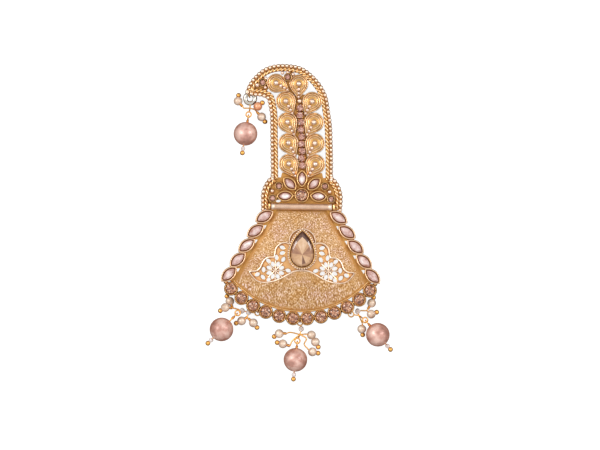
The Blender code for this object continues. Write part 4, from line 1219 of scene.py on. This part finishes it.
def build_navettes(finishes):
    """The side rows: bezels, seats dark with painted shadow, and milky stones."""
    walls, seats = Shape(), Shape()
    for side, word in ((-1, "left"), (1, "right")):
        for i, (place, tilt) in enumerate(navette_places()):
            centre, turn = mirrored(place, tilt, side)
            set_navette(
                walls, seats, f"side_navette_{word}_{i + 1}", SIDE_NAVETTE, centre, turn, LOW,
                10 + i + 40 * (side > 0), finishes["opal"],
            )
    walls.piece("side_bezels", finishes["rose"])
    seats.piece("side_shade_seats", finishes["seat_shade"])


def build_flower(finishes):
    walls, seats = Shape(), Shape()
    flower = Vector((0.0, FLOWER_Y))
    base = LOW + PLATE_THICKNESS / 2
    for k in range(5):
        turn = math.pi / 2 + (k - 2) * FLOWER_STEP
        set_navette(
            walls, seats, f"flower_navette_{k + 1}", FLOWER_NAVETTE, flower + FLOWER_REACH * spoke(turn),
            turn, base, 70 + k, finishes["opal"],
        )
    outline = stone_outline(lambda grow: disc(FLOWER_ROUND_DIAMETER, grow), flower)
    setting(walls, seats, outline, base, FLOWER_ROUND_WALL)
    cut_round("flower_round", outline, 5, 16, finishes["champagne"], "champagne_stone")
    walls.piece("flower_bezels", finishes["rich"])
    seats.piece("flower_shade_seats", finishes["seat_shade"])


def build_rounds(finishes):
    """The rounds along the rim, each in a double ring with four claws."""
    walls, seats = Shape(), Shape()
    for i in range(round_row()[0]):
        centre = rim_place(round_turn(i), ROUND_CLEAR_OF_RIM)
        outline = stone_outline(lambda grow: disc(ROUND_DIAMETER, grow), centre, ROUND_TWIST * i)
        setting(walls, seats, outline, LOW, ROUND_WALL)
        walls.profile(outline, [
            (FIT_GAP + BEZEL_WALL, LOW), (FIT_GAP + BEZEL_WALL, PLATE_TOP + 0.0006),
            (FIT_GAP + BEZEL_WALL * 0.7, PLATE_TOP + 0.0009),
            (FIT_GAP + BEZEL_WALL * 0.4, PLATE_TOP + 0.0007),
        ])
        claws(seats, centre, ROUND_DIAMETER, LOW + BEZEL_HEIGHT - 0.0001, ROUND_TWIST * i)
        cut_round(f"rim_round_{i + 1}", outline, 100 + i, 16, finishes["champagne"], "champagne_stone")
    walls.piece("rim_bezels", finishes["rich"])
    seats.piece("rim_claws_and_shade_seats", finishes["deep"])


def build_chatons(finishes):
    """Single rose stones of the dome, crest and hook in little cups, and the balls beside them."""
    cups = Shape()
    nodes = [f"dome_chaton_{k + 1}" for k in range(4)] + ["crest_chaton", "hook_chaton"]
    for k, node in enumerate(nodes):
        centre, low = node_middle(node)
        outline = stone_outline(lambda grow: disc(CHATON_DIAMETER, grow, 24), centre, CHATON_TWIST * k)
        bezel(cups, outline, low + STONE_HEIGHT / 2 - BEZEL_HEIGHT, CHATON_WALL)
        cut_round(node, outline, 300 + k, 12, finishes["rose_stone"], "rose_stone")
    balls = Shape()
    for across, up, size in CREST_BALLS:
        place = plume_point(across, up)
        balls.ball(Vector((*place, PLATE_TOP + size * 0.45)), size)
        cups.ball(Vector((*place, PLATE_TOP - size * 0.3)), size * 0.8, 12, 8)
    for place in DOME_BALLS:
        balls.ball(Vector((*place, PLATE_TOP + 0.0006)), DOME_BALL_DIAMETER)
    cups.piece("chaton_cups", finishes["rich"])
    balls.piece("crest_and_dome_balls", finishes["silver_pink"])


def pear_tones(turn):
    """Tones of the pear's inner and outer facets at an angle round it."""
    degrees = math.degrees(turn)
    return min(PEAR_TONES, key=lambda row: abs(row[0] - degrees))[1:]


def build_pear(finishes):
    """The pear: a granulated collar, a plain wall and a stone with large facets."""
    low = node_middle("pear_stone")[1]
    base = low + STONE_HEIGHT / 2 - BEZEL_HEIGHT
    centre = Vector((PEAR_X, PEAR_Y))
    outline = stone_outline(pear_shape, centre, math.pi / 2)
    wall, seats, granules = Shape(), Shape(), Shape()
    setting(wall, seats, outline, base, PEAR_WALL)
    beyond = FIT_GAP + PEAR_WALL + GRANULE_DIAMETER * 0.25
    for point in resample(outline(beyond), GRANULE_DIAMETER * 0.96, True):
        granules.ball(Vector((*point, base + BEZEL_HEIGHT * 0.72)), GRANULE_DIAMETER, 10, 7)
    wall.piece("pear_bezel", finishes["rich"])
    seats.piece("pear_shade_seat", finishes["seat_shade"])
    granules.piece("pear_granules", finishes["pale"])

    stone = Shape()
    height = PEAR_CUT
    steps = [(-0.0004, 0.0), (0.0, 0.4), (0.0, 0.5)]
    stone.profile(outline, [(grow, low + height * z) for grow, z in steps], caps=(True, False), tone=0.25)
    girdle = resample(outline(0.0), PEAR_FACET, True)
    count = len(girdle)
    edge = [centre.lerp(p, PEAR_EDGE) for p in girdle]
    table = [centre.lerp(p, PEAR_TABLE) for p in girdle]
    culet = centre + Vector((0.0001, 0.0002))
    for i in range(count):
        j = (i + 1) % count
        middle = (table[i] + table[j]) / 2 - culet
        turn = math.atan2(middle.y, middle.x)
        corners = [
            Vector((*loop[n], low + height * z))
            for loop, z in ((girdle, 0.5), (edge, 0.82), (table, 1.0)) for n in (i, j)
        ]
        corners.append(Vector((*culet, low + height)))
        faces = [(0, 1, 2), (2, 1, 3), (2, 3, 4), (4, 3, 5), (4, 5, 6)]
        # Painted reflections: each facet's tone, every other one a little lighter
        inner, outer = pear_tones(turn)
        shade = 0.10 * (i % 2)
        stone.add(corners, faces, [outer, outer + 0.12, outer + shade, outer + 0.15, inner + shade / 2])
    stone.piece("pear_cut", finishes["pear"], "champagne_stone", ["pear_stone"], angle=FACET_ANGLE)


def build_spine(finishes):
    """The cup chain of rose rhinestones, its bed and the ball at its top."""
    cups, stones = Shape(), Shape()
    heights = [PLUME_FOOT_Y + share * PLUME_HEIGHT for share in SPINE_BED]
    middle = smooth([Vector((spine_x(y), y)) for y in heights], 4)
    half = SPINE_BACKING / 2
    outline = offset_path(middle, half) + offset_path(middle, -half)[::-1]
    gap = placed(lens(SPINE_GAP, steps=8), Vector(SPINE_GAP_PLACE), math.pi / 2)
    flat_plate("spine_backing", outline, [gap], LOW, PLATE_TOP - 0.0001, finishes["ground"])
    size = SPINE_WIDTH * 0.96
    top_y = PLUME_FOOT_Y + SPINE_TOP * PLUME_HEIGHT
    foot_y = FLOWER_Y + FLOWER_REACH + FLOWER_NAVETTE[0] / 2 + SPINE_WIDTH
    for i in range(SPINE_STONES):
        y = foot_y + (top_y - foot_y) * i / (SPINE_STONES - 1)
        centre = Vector((spine_x(y) + 0.00015 * (-1) ** i, y))
        outline = stone_outline(lambda grow: disc(size, grow, 24), centre, SPINE_TWIST * i)
        brilliant(stones, outline, PLATE_TOP + FIT_GAP, SPINE_CUT, 500 + i, 12)
        cups.profile(outline, [
            (0.00008, LOW + 0.0003), (0.0002, PLATE_TOP + 0.0005), (0.0001, PLATE_TOP + 0.0006),
            (0.00003, PLATE_TOP + 0.0003),
        ])
        claws(cups, centre, size, PLATE_TOP + 0.0007)
    cups.piece("spine_cups", finishes["rich"])
    stones.piece(
        "spine_rhinestones", finishes["rose_stone"], "rose_stone", ["spine_stones"], angle=FACET_ANGLE,
    )
    crest = Shape()
    crest_y = top_y + SPINE_WIDTH
    place = Vector((spine_x(crest_y) + 0.0002, crest_y, PLATE_TOP + 0.0006))
    crest.ball(place, SPINE_BALL_DIAMETER, 18, 12)
    crest.piece("spine_crest_ball", finishes["silver_pink"])


# Fan, dome, crossbar

def fan_outline():
    top = [Vector((x, 0.0)) for x in np.linspace(FAN_TOP_HALF_WIDTH, -FAN_TOP_HALF_WIDTH, 40)]
    rim = rim_arc(160)
    down = resample([top[-1], rim[0]], 0.0005)
    up = resample([rim[-1], top[0]], 0.0005)
    return top[:-1] + down[:-1] + rim[:-1] + up[:-1]


def stipple(streak, random):
    """Relief of the hammered ground: grains, shallower where they are drawn into streaks."""
    return STIPPLE_HEIGHT * random.normal(size=len(streak)) * (1 - 0.4 * streak)


def build_fan(finishes):
    """The domed plate: a stippled ground inside smooth bands, and the pierced panel."""
    outline = fan_outline()
    loop = resample(smooth(panel_loop(), 4, closed=True), 0.0004, closed=True)
    holes = [
        placed(lens((PIERCING_LENGTH, PIERCING_WIDTH), steps=7), centre, turn)
        for centre, turn in piercing_places()
    ]
    random = np.random.RandomState(11)
    xs = np.arange(-FAN_BOTTOM_HALF_WIDTH, FAN_BOTTOM_HALF_WIDTH, STIPPLE_PITCH)
    ys = np.arange(-FAN_DEPTH, 0, STIPPLE_PITCH)
    grid = np.array(np.meshgrid(xs, ys)).reshape(2, -1).T
    grid += random.uniform(-STIPPLE_JITTER, STIPPLE_JITTER, grid.shape) * STIPPLE_PITCH
    across, down = fan_shares(grid[:, 0], grid[:, 1])
    within = inside(grid, outline) & (np.abs(across) < STIPPLE_ACROSS)
    grid = grid[within & (down > STIPPLE_DOWN[0]) & (down < STIPPLE_DOWN[1])]
    in_panel = inside(grid, loop)
    near_hole = np.zeros(len(grid), bool)
    for centre, _ in piercing_places():
        near_hole |= np.hypot(grid[:, 0] - centre.x, grid[:, 1] - centre.y) < HOLE_CLEAR
    coarse = random.rand(len(grid)) < COARSE_SHARE
    grid = grid[~near_hole & (~in_panel | coarse)]
    points, faces = net(outline, [loop], holes, grid)
    x, y = points[:, 0], points[:, 1]
    across, down = fan_shares(x, y)
    edge = fan_edge(down) * (1 - np.abs(across)) * BAND_SLANT
    to_rim = RIM_RADIUS - np.hypot(x, y - RIM_CENTRE_Y)
    distance = np.minimum(np.minimum(edge, to_rim), -y - BAND_TOP)
    grain = np.clip((distance - BAND_WIDTH) / BAND_FADE, 0, 1)
    panel = inside(points, loop).astype(float)
    grain *= 1 - panel
    streak = np.clip((PANEL_BOTTOM_Y + STREAK_DEPTH - y) / STREAK_DEPTH, 0, 1)
    top = fan_height(x, y) + grain * stipple(streak, random) - panel * PANEL_RECESS
    thickness = np.full(len(points), PLATE_THICKNESS) - panel * PANEL_RECESS * 0.8
    plate_piece(
        "fan_plate", points, top, thickness, faces, finishes["fan"],
        attributes=(("grain", grain), ("recess", panel), ("streak", streak)), nodes=["gold_frame"],
    )

    rim = Shape()
    rim.tube([Vector((*p, PLATE_TOP + 0.0001)) for p in rim_arc(120)], RIM_WIRE_DIAMETER, 10)
    rim.piece("fan_rim_wire", finishes["rich"])

    wires = Shape()
    wires.tube([Vector((*p, fan_height_at(p) + 0.0001)) for p in loop], PANEL_WIRE_DIAMETER, 9, closed=True)
    for side in (-1, 1):
        burst = panel_point(*BURST_CENTRE, side)
        centre = Vector((*burst, fan_height_at(burst)))
        wires.ball(centre, BURST_BALL_DIAMETER, 14, 9)
        for k in range(BURST_PIERCINGS):
            out = spoke(math.tau * k / BURST_PIERCINGS)
            ray = [burst + out * BURST_WIRE_REACH * t for t in (0, 0.35, 0.7, 1.0)]
            wires.tube([Vector((*p, fan_height_at(p) - 0.0001)) for p in ray], BURST_WIRE, 8)
    wires.piece("panel_wires", finishes["pale"])

    lips = Shape()
    for centre, turn in piercing_places():
        rim_loop = placed(lens((PIERCING_LENGTH, PIERCING_WIDTH), LIP_WIRE * 0.45, 8), centre, turn)
        level = [Vector((*p, fan_height_at(p) - PANEL_RECESS + LIP_WIRE * 0.25)) for p in rim_loop]
        lips.tube(level, LIP_WIRE, 6, closed=True)
    lips.piece("panel_lips", finishes["rich"])


def build_dome(dome_right, dome_left, finishes):
    """The plain plates behind the dome, the lowest petals, the hook and the crest."""
    gap = placed(lens(DOME_GAP, steps=10), Vector(DOME_GAP_PLACE), DOME_GAP_TURN)
    outline = resample(dome_right + dome_left, 0.0006, closed=True)
    flat_plate("dome_plate", outline, [gap], METAL_BACK, PLATE_TOP - SOLDER_SINK / 2, finishes["ground"])
    foot, top = (share * PLUME_HALF_WIDTH for share in DOME_LEDGE_WIDTHS)
    low_y, high_y = PLUME_FOOT_Y - PLATE_THICKNESS, PLUME_FOOT_Y + DOME_LEDGE
    ledge = [Vector(p) for p in ((-foot, low_y), (foot, low_y), (top, high_y), (-top, high_y))]
    hook = placed(disc(2 * HOOK_BACKING_RADIUS, sides=40), plume_point(*HOOK_BACKING))
    crest = placed(lens(CREST_BACKING), plume_point(*CREST_BACKING_PLACE), math.pi / 2)
    for name, outline in (("dome_ledge", ledge), ("hook_plate", hook), ("crest_plate", crest)):
        flat_plate(name, outline, [], LOW, PLATE_TOP - SOLDER_SINK, finishes["ground"])


def build_crossbar(finishes):
    """A finely ribbed rod between plain collars, in its two caps."""
    bar = Shape()
    height = PLATE_TOP + FIT_GAP + CROSSBAR_DIAMETER / 2
    radius = CROSSBAR_DIAMETER / 2
    collar = CROSSBAR_COLLAR
    half = CROSSBAR_LENGTH / 2
    steps = [(-half, 0.80), (-half + 0.00015, 0.98), (-half + collar * 0.9, 0.98), (-half + collar, 0.91)]
    # Face tones: painted light and shade on the collars and ribs
    tones = [0.5, 0.8, 0.6]
    ribs = round((CROSSBAR_LENGTH - 2 * collar) / CROSSBAR_RIB_PITCH)
    for i in range(ribs):
        start = -half + collar + (CROSSBAR_LENGTH - 2 * collar) * i / ribs
        for share, reach, tone in RIB_SECTION:
            steps.append((start + CROSSBAR_RIB_PITCH * share, reach))
            tones.append(tone)
    steps += [(-x, reach) for x, reach in steps[3::-1]]
    tones += [0.0, 0.6, 0.8, 0.5]
    rings = []
    for x, reach in steps:
        turns = [math.tau * k / CROSSBAR_SIDES for k in range(CROSSBAR_SIDES)]
        rings.append([Vector((
            x, radius * reach * math.cos(t), height + radius * reach * math.sin(t),
        )) for t in turns])
    spread = [tone for tone in tones[:len(steps) - 1] for _ in range(CROSSBAR_SIDES)] + [0.5, 0.5]
    bar.loft(rings, tone=spread)
    bar.piece("crossbar_ribbed", finishes["bar"], "pale_bar", ["crossbar"])
    caps = Shape()
    start = half + FIT_GAP
    for side in (-1, 1):
        rings = []
        for x, grow in ((start, 0.85), (start + 0.0002, 1.0), (start + CROSSBAR_CAP - 0.0002, 1.0),
                        (start + CROSSBAR_CAP, 0.8)):
            half_width = CROSSBAR_DIAMETER / 2 * grow
            top = PLATE_TOP + FIT_GAP + CROSSBAR_DIAMETER * 0.8 * (0.6 + 0.4 * grow)
            rings.append([Vector((side * x, y, z)) for y, z in (
                (-half_width, LOW), (half_width, LOW), (half_width, top - 0.0005),
                (half_width * 0.6, top), (-half_width * 0.6, top), (-half_width, top - 0.0005),
            )][::side])
        caps.loft(rings)
    caps.piece("crossbar_caps", finishes["rich"])


def build_flanges(finishes):
    """The strips that carry the side navettes and the rounds."""
    flange_top = METAL_BACK + PLATE_THICKNESS * 0.8
    places = [place for place, _ in navette_places()]
    along = (places[-1] - places[0]).normalized()
    inward = Vector((along.y, -along.x))
    first, last = places[0] - along * FLANGE_LEAD, places[-1] + along * FLANGE_TAIL
    for side, word in ((-1, "left"), (1, "right")):
        corners = []
        for place, offset in (
            (first, -SIDE_NAVETTE[1] / 3), (first, NAVETTE_CLEAR_OF_FAN + 2 * BEZEL_WALL),
            (last, NAVETTE_CLEAR_OF_FAN + 2 * BEZEL_WALL), (last, -SIDE_NAVETTE[1] / 3),
        ):
            corners.append(mirrored(place + inward * offset, 0.0, side)[0])
        outward_turn = math.atan2(-inward.y, -inward.x)
        gaps = []
        for number in FLANGE_GAPS_AFTER[side]:
            middle = (places[number - 1] + places[number]) / 2 + inward * FLANGE_GAP_INWARD
            centre, turn = mirrored(middle, outward_turn, side)
            gaps.append(placed(disc(FLANGE_GAP, sides=3), centre, turn))
        flat_plate(f"flange_{word}", corners, gaps, LOW, flange_top, finishes["deep"])
    band = Shape()
    path = [rim_place(round_turn(k / 4), ROUND_CLEAR_OF_RIM) for k in range(4 * round_row()[0] - 3)]
    section = [(s * ROUND_BAND / 2, z) for s, z in ((1, LOW), (1, flange_top), (-1, flange_top), (-1, LOW))]
    strip(band, path, section)
    for side in (-1, 1):
        turn = side * (round_turn(round_row()[0] - 1) + BAND_BALL_TURN)
        place = rim_place(turn, ROUND_CLEAR_OF_RIM - 0.0002)
        band.ball(Vector((*place, PLATE_TOP)), BAND_BALL_DIAMETER)
    band.piece("round_band", finishes["rich"])


# Drops

def drop_anchors():
    """Centre of each drop's loop below the metal, and the way out of the metal there."""
    between = ROUND_CLEAR_OF_RIM + ROUND_BAND / 2 - LINK_WIRE / 2
    under = ROUND_CLEAR_OF_RIM + ROUND_DIAMETER / 2 + FIT_GAP + BEZEL_WALL - LINK_WIRE
    count = round_row()[0]
    turns = {
        "left": (round_turn(2.5), between),
        "centre": (round_turn((count - 1) // 2 + 0.5), between),
        "right": (round_turn(count - 3), under),
    }
    anchors = {}
    for name, (turn, beyond) in turns.items():
        anchors[name] = (rim_place(turn, beyond), Vector((math.sin(turn), -math.cos(turn))))
    tip = plume_point(*NECK_ROUTE[0])
    place = tip + Vector((LINK_WIRE, LINK_WIRE / 2 - BEAD_RAIL_WIDTH / 2))
    anchors["hook"] = (place, Vector((0.3, -1.0)).normalized())
    return anchors


def ring_sizes(name):
    if name == "hook":
        return HOOK_RING_DIAMETER, HOOK_RING_WIRE
    return LINK_DIAMETER - LINK_WIRE, LINK_WIRE


def hang_height(ring_wire):
    return METAL_BACK - FIT_GAP - ring_wire / 2


def bent(points, wire, shape, sides=8):
    """A wire through its points with softened bends."""
    shape.tube(smooth([Vector(p) for p in points], 6), wire, sides)


def knot(shape, centre, along):
    """A few turns of wire wrapped round a headpin's neck."""
    side = along.orthogonal().normalized()
    across = along.cross(side)
    coil = []
    for k in range(KNOT_TURNS * KNOT_STEPS + 1):
        turn = math.tau * k / KNOT_STEPS
        reach = side * math.cos(turn) + across * math.sin(turn)
        coil.append(centre + along * (k / KNOT_STEPS - KNOT_TURNS / 2) * KNOT_WIRE + reach * KNOT_WIRE)
    shape.tube(coil, KNOT_WIRE, 6)


def crystal(shape, centre, diameter, seed):
    """A bead cut as two blunt cones."""
    radius = diameter / 2
    rings = []
    for rise, reach in CRYSTAL_SECTION:
        turns = [math.tau * (k + 0.5 * (rise > 0.1) + seed * 0.1) / 8 for k in range(8)]
        rings.append([centre + Vector((
            radius * rise, radius * reach * math.cos(t), radius * reach * math.sin(t),
        )) for t in turns])
    shape.loft(rings)


def build_drop(name, anchor, finishes):
    place, out = anchor
    diameter, wire = ring_sizes(name)
    route = DROP_ROUTES[name]
    start = place + out * diameter / 2
    upper = Vector((*start, hang_height(wire)))
    lower = Vector((*(start + Vector(route["lower_ring"]) * MM), LINK_Z))
    pearl = Vector((*(start + Vector(route["pearl"]) * MM), LINK_Z))

    def at(x, y, z):
        return Vector((upper.x + x * MM, upper.y + y * MM, z * MM))

    wires, beads, amber, balls, crystals = Shape(), Shape(), Shape(), Shape(), Shape()
    lower_diameter = LINK_DIAMETER - LINK_WIRE
    chain = [at(*point) for point in route["chain"]]
    first = (chain[0] - upper).normalized() * diameter / 2
    last = (chain[-1] - lower).normalized() * lower_diameter / 2
    first.z = last.z = 0
    bent([upper + first, *chain, lower + last], DROP_WIRE, wires)
    for branch in route["branches"]:
        bent([at(*point) for point in branch], DROP_WIRE, wires)
    wires.torus(lower, lower_diameter, LINK_WIRE, UP)
    ring = Shape()
    ring.torus(upper, diameter, wire, UP, 48, 14)
    for i, point in enumerate(route["crystals"]):
        crystal(crystals, at(*point), CRYSTAL_DIAMETER, i)
    for x, y, layer, knot_x, knot_y, knot_z, end_x, end_y in route["beads"]:
        height = BEAD_DIAMETER * (BEAD_REST + BEAD_LAYER * layer)
        bead = at(x, y, height / MM)
        joint = at(knot_x, knot_y, knot_z)
        way = at(end_x, end_y, (height - END_BALL_DIAMETER / 4) / MM) - bead
        end = bead + way.normalized() * ((BEAD_DIAMETER + END_BALL_DIAMETER) / 2 - BALL_SINK)
        bent([joint, bead], DROP_WIRE, wires)
        along = (bead - joint).normalized()
        if (bead - joint).length > BEAD_DIAMETER * 0.75:
            knot(wires, bead - along * (BEAD_DIAMETER / 2 + 0.0005), along)
        kind = amber if name == "hook" and layer else beads
        kind.ball(bead, BEAD_DIAMETER, 28, 18)
        balls.ball(end, END_BALL_DIAMETER, 18, 12)
    ring_finish = finishes["silver"] if name == "hook" else finishes["rich"]
    wires.piece(f"{name}_wires", finishes["bright"], nodes=[f"{name}_cluster"])
    ring.piece(f"{name}_ring", ring_finish)
    beads.piece(f"{name}_beads", finishes["small_pearl"], "pink_pearl")
    if amber.points:
        amber.piece(f"{name}_amber_bead", finishes["amber"], "pink_pearl")
    balls.piece(f"{name}_end_balls", finishes["bright"])
    if crystals.points:
        crystals.piece(f"{name}_crystals", finishes["clear"], "clear_crystal", angle=FACET_ANGLE)

    along = (pearl - lower).normalized()
    eye_diameter = LINK_WIRE + 2 * FIT_GAP + PIN_WIRE
    eye = lower + along * (LINK_DIAMETER - LINK_WIRE) / 2
    clear = pearl + along * (PEARL_DIAMETER / 2 + CLEAR_BEAD_DIAMETER / 2 + FIT_GAP)
    end = clear + along * (CLEAR_BEAD_DIAMETER + END_BALL_DIAMETER) * 0.45
    pin = Shape()
    pin.torus(eye, eye_diameter, PIN_WIRE, along.cross(UP), 24, 8)
    pin.tube([eye + along * eye_diameter / 2, end], PIN_WIRE, 8)
    pin.ball(end, END_BALL_DIAMETER, 18, 12)
    knot(pin, eye + along * (eye_diameter / 2 + 0.0008), along)
    pin.piece(f"{name}_headpin", finishes["bright"], nodes=[f"{name}_pin"])
    glass = Shape()
    glass.ball(clear, CLEAR_BEAD_DIAMETER, 20, 12)
    glass.piece(f"{name}_clear_bead", finishes["clear"], "clear_crystal")
    big = Shape()
    big.loft(pearl_rings(pearl, along), closed=True)
    big.piece(f"{name}_pearl_skin", finishes["pearl"], "pink_pearl", [f"{name}_pearl"])


def pearl_rings(centre, along):
    """A drilled ball: its profile turned round the pin's axis."""
    radius = PEARL_DIAMETER / 2 * 0.995
    start = math.asin((PIN_WIRE / 2 + FIT_GAP) / radius)
    side = along.cross(UP)
    up = side.cross(along)
    rings = []
    for k in range(PEARL_LEVELS + 1):
        turn = start + (math.pi - 2 * start) * k / PEARL_LEVELS
        middle = centre + along * radius * math.cos(turn)
        rings.append(circle(middle, radius * math.sin(turn), side, up, PEARL_SIDES))
    return rings


def build_loops(anchors, finishes):
    loops = Shape()
    for name, (place, out) in anchors.items():
        ring_wire = ring_sizes(name)[1]
        diameter = ring_wire + 2 * FIT_GAP + LINK_WIRE
        across = Vector((out.y, -out.x, 0))
        loops.torus(Vector((*place, hang_height(ring_wire))), diameter, LINK_WIRE, across, 28, 10)
    loops.piece("drop_loops", finishes["rich"])


# Floor, light and camera

def build_stage():
    mesh = bpy.data.meshes.new("floor")
    corners = [(x * FLOOR_HALF, y * FLOOR_HALF, 0) for x, y in ((-1, -1), (1, -1), (1, 1), (-1, 1))]
    mesh.from_pydata(corners, [], [(0, 1, 2, 3)])
    made, _, shader = new_material("light_table")
    set_inputs(shader, (
        ("Base Color", (0.35, 0.35, 0.35, 1)), ("Roughness", 1.0), ("Specular IOR Level", 0.0),
        ("Emission Color", WHITE), ("Emission Strength", 0.88),
    ))
    mesh.materials.append(made)
    floor = bpy.data.objects.new("floor", mesh)
    bpy.context.scene.collection.objects.link(floor)
    # The metal mirrors a darker room than the lit table, as in a studio picture cut out to white
    floor.visible_glossy = False
    floor.visible_diffuse = False
    floor.visible_shadow = False


def add_softbox(name, place, size, power):
    light = bpy.data.lights.new(name, "AREA")
    light.shape = "RECTANGLE"
    light.size, light.size_y = size
    light.energy = power
    obj = bpy.data.objects.new(name, light)
    obj.location = place
    obj.rotation_mode = "QUATERNION"
    obj.rotation_quaternion = (-Vector(place)).to_track_quat("-Z", "Y")
    bpy.context.scene.collection.objects.link(obj)


def build_light():
    world = bpy.data.worlds.new("studio")
    bpy.context.scene.world = world
    world.use_nodes = True
    tree = world.node_tree
    background = tree.nodes["Background"]
    place = add_node(tree, "ShaderNodeTexCoord").outputs["Generated"]
    height = add_node(tree, "ShaderNodeSeparateXYZ", links=[("Vector", place)]).outputs["Z"]
    level = map_range(tree, height, (("From Min", -1.0),))
    tent = ramp(tree, level, (
        (0.0, (0.10, 0.07, 0.05, 1)), (0.47, (0.13, 0.10, 0.08, 1)), (0.58, (0.36, 0.33, 0.31, 1)),
        (0.76, (0.84, 0.82, 0.80, 1)), (0.90, (0.98, 0.97, 0.96, 1)), (1.0, (0.74, 0.74, 0.74, 1)),
    ))
    tree.links.new(tent, background.inputs["Color"])
    background.inputs["Strength"].default_value = 1.0
    add_softbox("softbox_left", (-0.55, 0.20, 0.60), (0.30, 0.4), 2.3)
    add_softbox("softbox_right", (0.55, 0.20, 0.60), (0.26, 0.4), 2.0)


def build_camera():
    data = bpy.data.cameras.new("camera")
    data.sensor_width = SENSOR
    data.lens = SENSOR * CAMERA_HEIGHT / PHOTO_SPAN
    data.clip_start, data.clip_end = 0.05, 20
    camera = bpy.data.objects.new("camera", data)
    camera.location = (*PHOTO_MIDDLE, CAMERA_HEIGHT + PLATE_TOP)
    camera.rotation_euler = (0, 0, PHOTO_ROLL)
    bpy.context.scene.collection.objects.link(camera)
    bpy.context.scene.camera = camera
    bpy.context.scene.view_settings.view_transform = "Standard"


def make_finishes():
    # Metals: colour, colour of the painted shade in their hollows, roughness
    return {
        "rich": metal("rich_gold", srgb(240, 194, 132), srgb(180, 116, 54), 0.28, shade_reach=0.0006),
        # Painted shade in the rope's grooves, painted highlight on its strands
        "rope": metal("rope_gold", (
            (0.0, srgb(138, 80, 30)), (0.35, srgb(196, 132, 64)), (0.7, srgb(232, 186, 122)),
            (1.0, srgb(248, 216, 172)),
        ), srgb(170, 100, 40), 0.28, shade_reach=0.0005),
        # Painted shade in the petals' grooves, painted highlight on their ridges and middles
        "petal": metal("petal_gold", (
            (0.0, srgb(160, 98, 38)), (0.4, srgb(224, 170, 98)), (0.6, srgb(236, 188, 122)),
            (1.0, srgb(252, 224, 186)),
        ), srgb(176, 108, 46), 0.28, shade_reach=0.0005),
        "bright": metal("bright_gold", srgb(255, 196, 108), srgb(222, 148, 68), 0.44),
        "cream": metal("cream_balls", srgb(252, 228, 204), srgb(208, 152, 92), 0.34, shade_reach=0.0005),
        "pale": metal("pale_gold", srgb(255, 232, 208), srgb(190, 132, 80), 0.36, shade_reach=0.0005),
        "rose": metal("rose_gold", srgb(248, 208, 168), srgb(190, 126, 72), 0.3, shade_reach=0.0005),
        "silver_pink": metal("silver_pink", srgb(250, 226, 210), srgb(190, 130, 80), 0.32),
        "silver": metal("silver_ring", srgb(222, 218, 208), srgb(96, 80, 66), 0.2),
        "deep": metal("deep_gold", srgb(220, 164, 90), srgb(166, 108, 48), 0.34, shade_reach=0.0005),
        "ground": metal("brown_gold", srgb(210, 156, 88), srgb(136, 84, 36), 0.42, bump_strength=0.8),
        # Painted shadow: the dark brown lining seen between a stone and its wall
        "seat_shade": metal("brown_seat_shade", srgb(186, 122, 76), srgb(150, 92, 52), 0.5, shade_reach=0.0004),
        "fan": fan_metal(),
        # Painted shade between the crossbar's ribs, painted highlight on them
        "bar": metal("pale_bar", (
            (0.0, srgb(222, 172, 126)), (0.5, srgb(250, 222, 194)), (1.0, srgb(255, 246, 236)),
        ), srgb(214, 160, 110), 0.4),
        "clip": metal("clip_plating", srgb(224, 176, 112), srgb(140, 84, 34), 0.3),
        "opal": opal("milky_opal"),
        # Facet tones below paint the stones' reflections, dark to light
        "champagne": cut_stone("champagne_facets", (
            (0.05, srgb(58, 26, 14)), (0.3, srgb(126, 70, 44)), (0.6, srgb(174, 112, 78)),
            (0.85, srgb(214, 154, 116)), (1.0, srgb(246, 212, 182)),
        )),
        "rose_stone": cut_stone("rose_facets", (
            (0.05, srgb(100, 54, 40)), (0.35, srgb(158, 100, 82)), (0.65, srgb(198, 140, 122)),
            (0.9, srgb(230, 186, 170)), (1.0, srgb(250, 230, 220)),
        )),
        "pear": cut_stone("pear_facets", (
            (0.05, srgb(64, 30, 20)), (0.3, srgb(126, 84, 62)), (0.5, srgb(166, 120, 90)),
            (0.75, srgb(202, 158, 116)), (1.0, srgb(234, 204, 174)),
        ), 0.12, 0.3),
        "pearl": lacquer_pearl(
            "pink_pearl", srgb(238, 198, 184), srgb(200, 144, 128), srgb(204, 120, 86), 240, 0.8, 0.4,
        ),
        "small_pearl": lacquer_pearl(
            "milky_bead", srgb(242, 224, 206), srgb(222, 192, 168), srgb(204, 156, 120), 400, 0.5, 0.4,
        ),
        "amber": lacquer_pearl(
            "amber_bead", srgb(240, 172, 128), srgb(214, 130, 84), srgb(190, 96, 50), 400, 0.7, 0.3,
        ),
        "clear": clear_glass("clear_crystal"),
    }


def main():
    build_camera()
    build_stage()
    build_light()
    finishes = make_finishes()
    arch = smooth([plume_point(*share) for share in ARCH_ROUTE], 10)
    neck = smooth([plume_point(*share) for share in NECK_ROUTE], 10)
    dome_right, dome_left = dome_path(1), dome_path(-1)[::-1]
    build_rails([arch, neck, dome_right, dome_left], finishes)
    build_petals(arch, neck, finishes)
    build_spine(finishes)
    build_dome(dome_right, dome_left, finishes)
    build_fan(finishes)
    build_flanges(finishes)
    build_navettes(finishes)
    build_flower(finishes)
    build_rounds(finishes)
    build_chatons(finishes)
    build_pear(finishes)
    build_crossbar(finishes)
    anchors = drop_anchors()
    build_loops(anchors, finishes)
    for name, anchor in anchors.items():
        build_drop(name, anchor, finishes)
    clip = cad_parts["back_clip"]
    clip.data.materials.clear()
    clip.data.materials.append(finishes["clip"])


main()
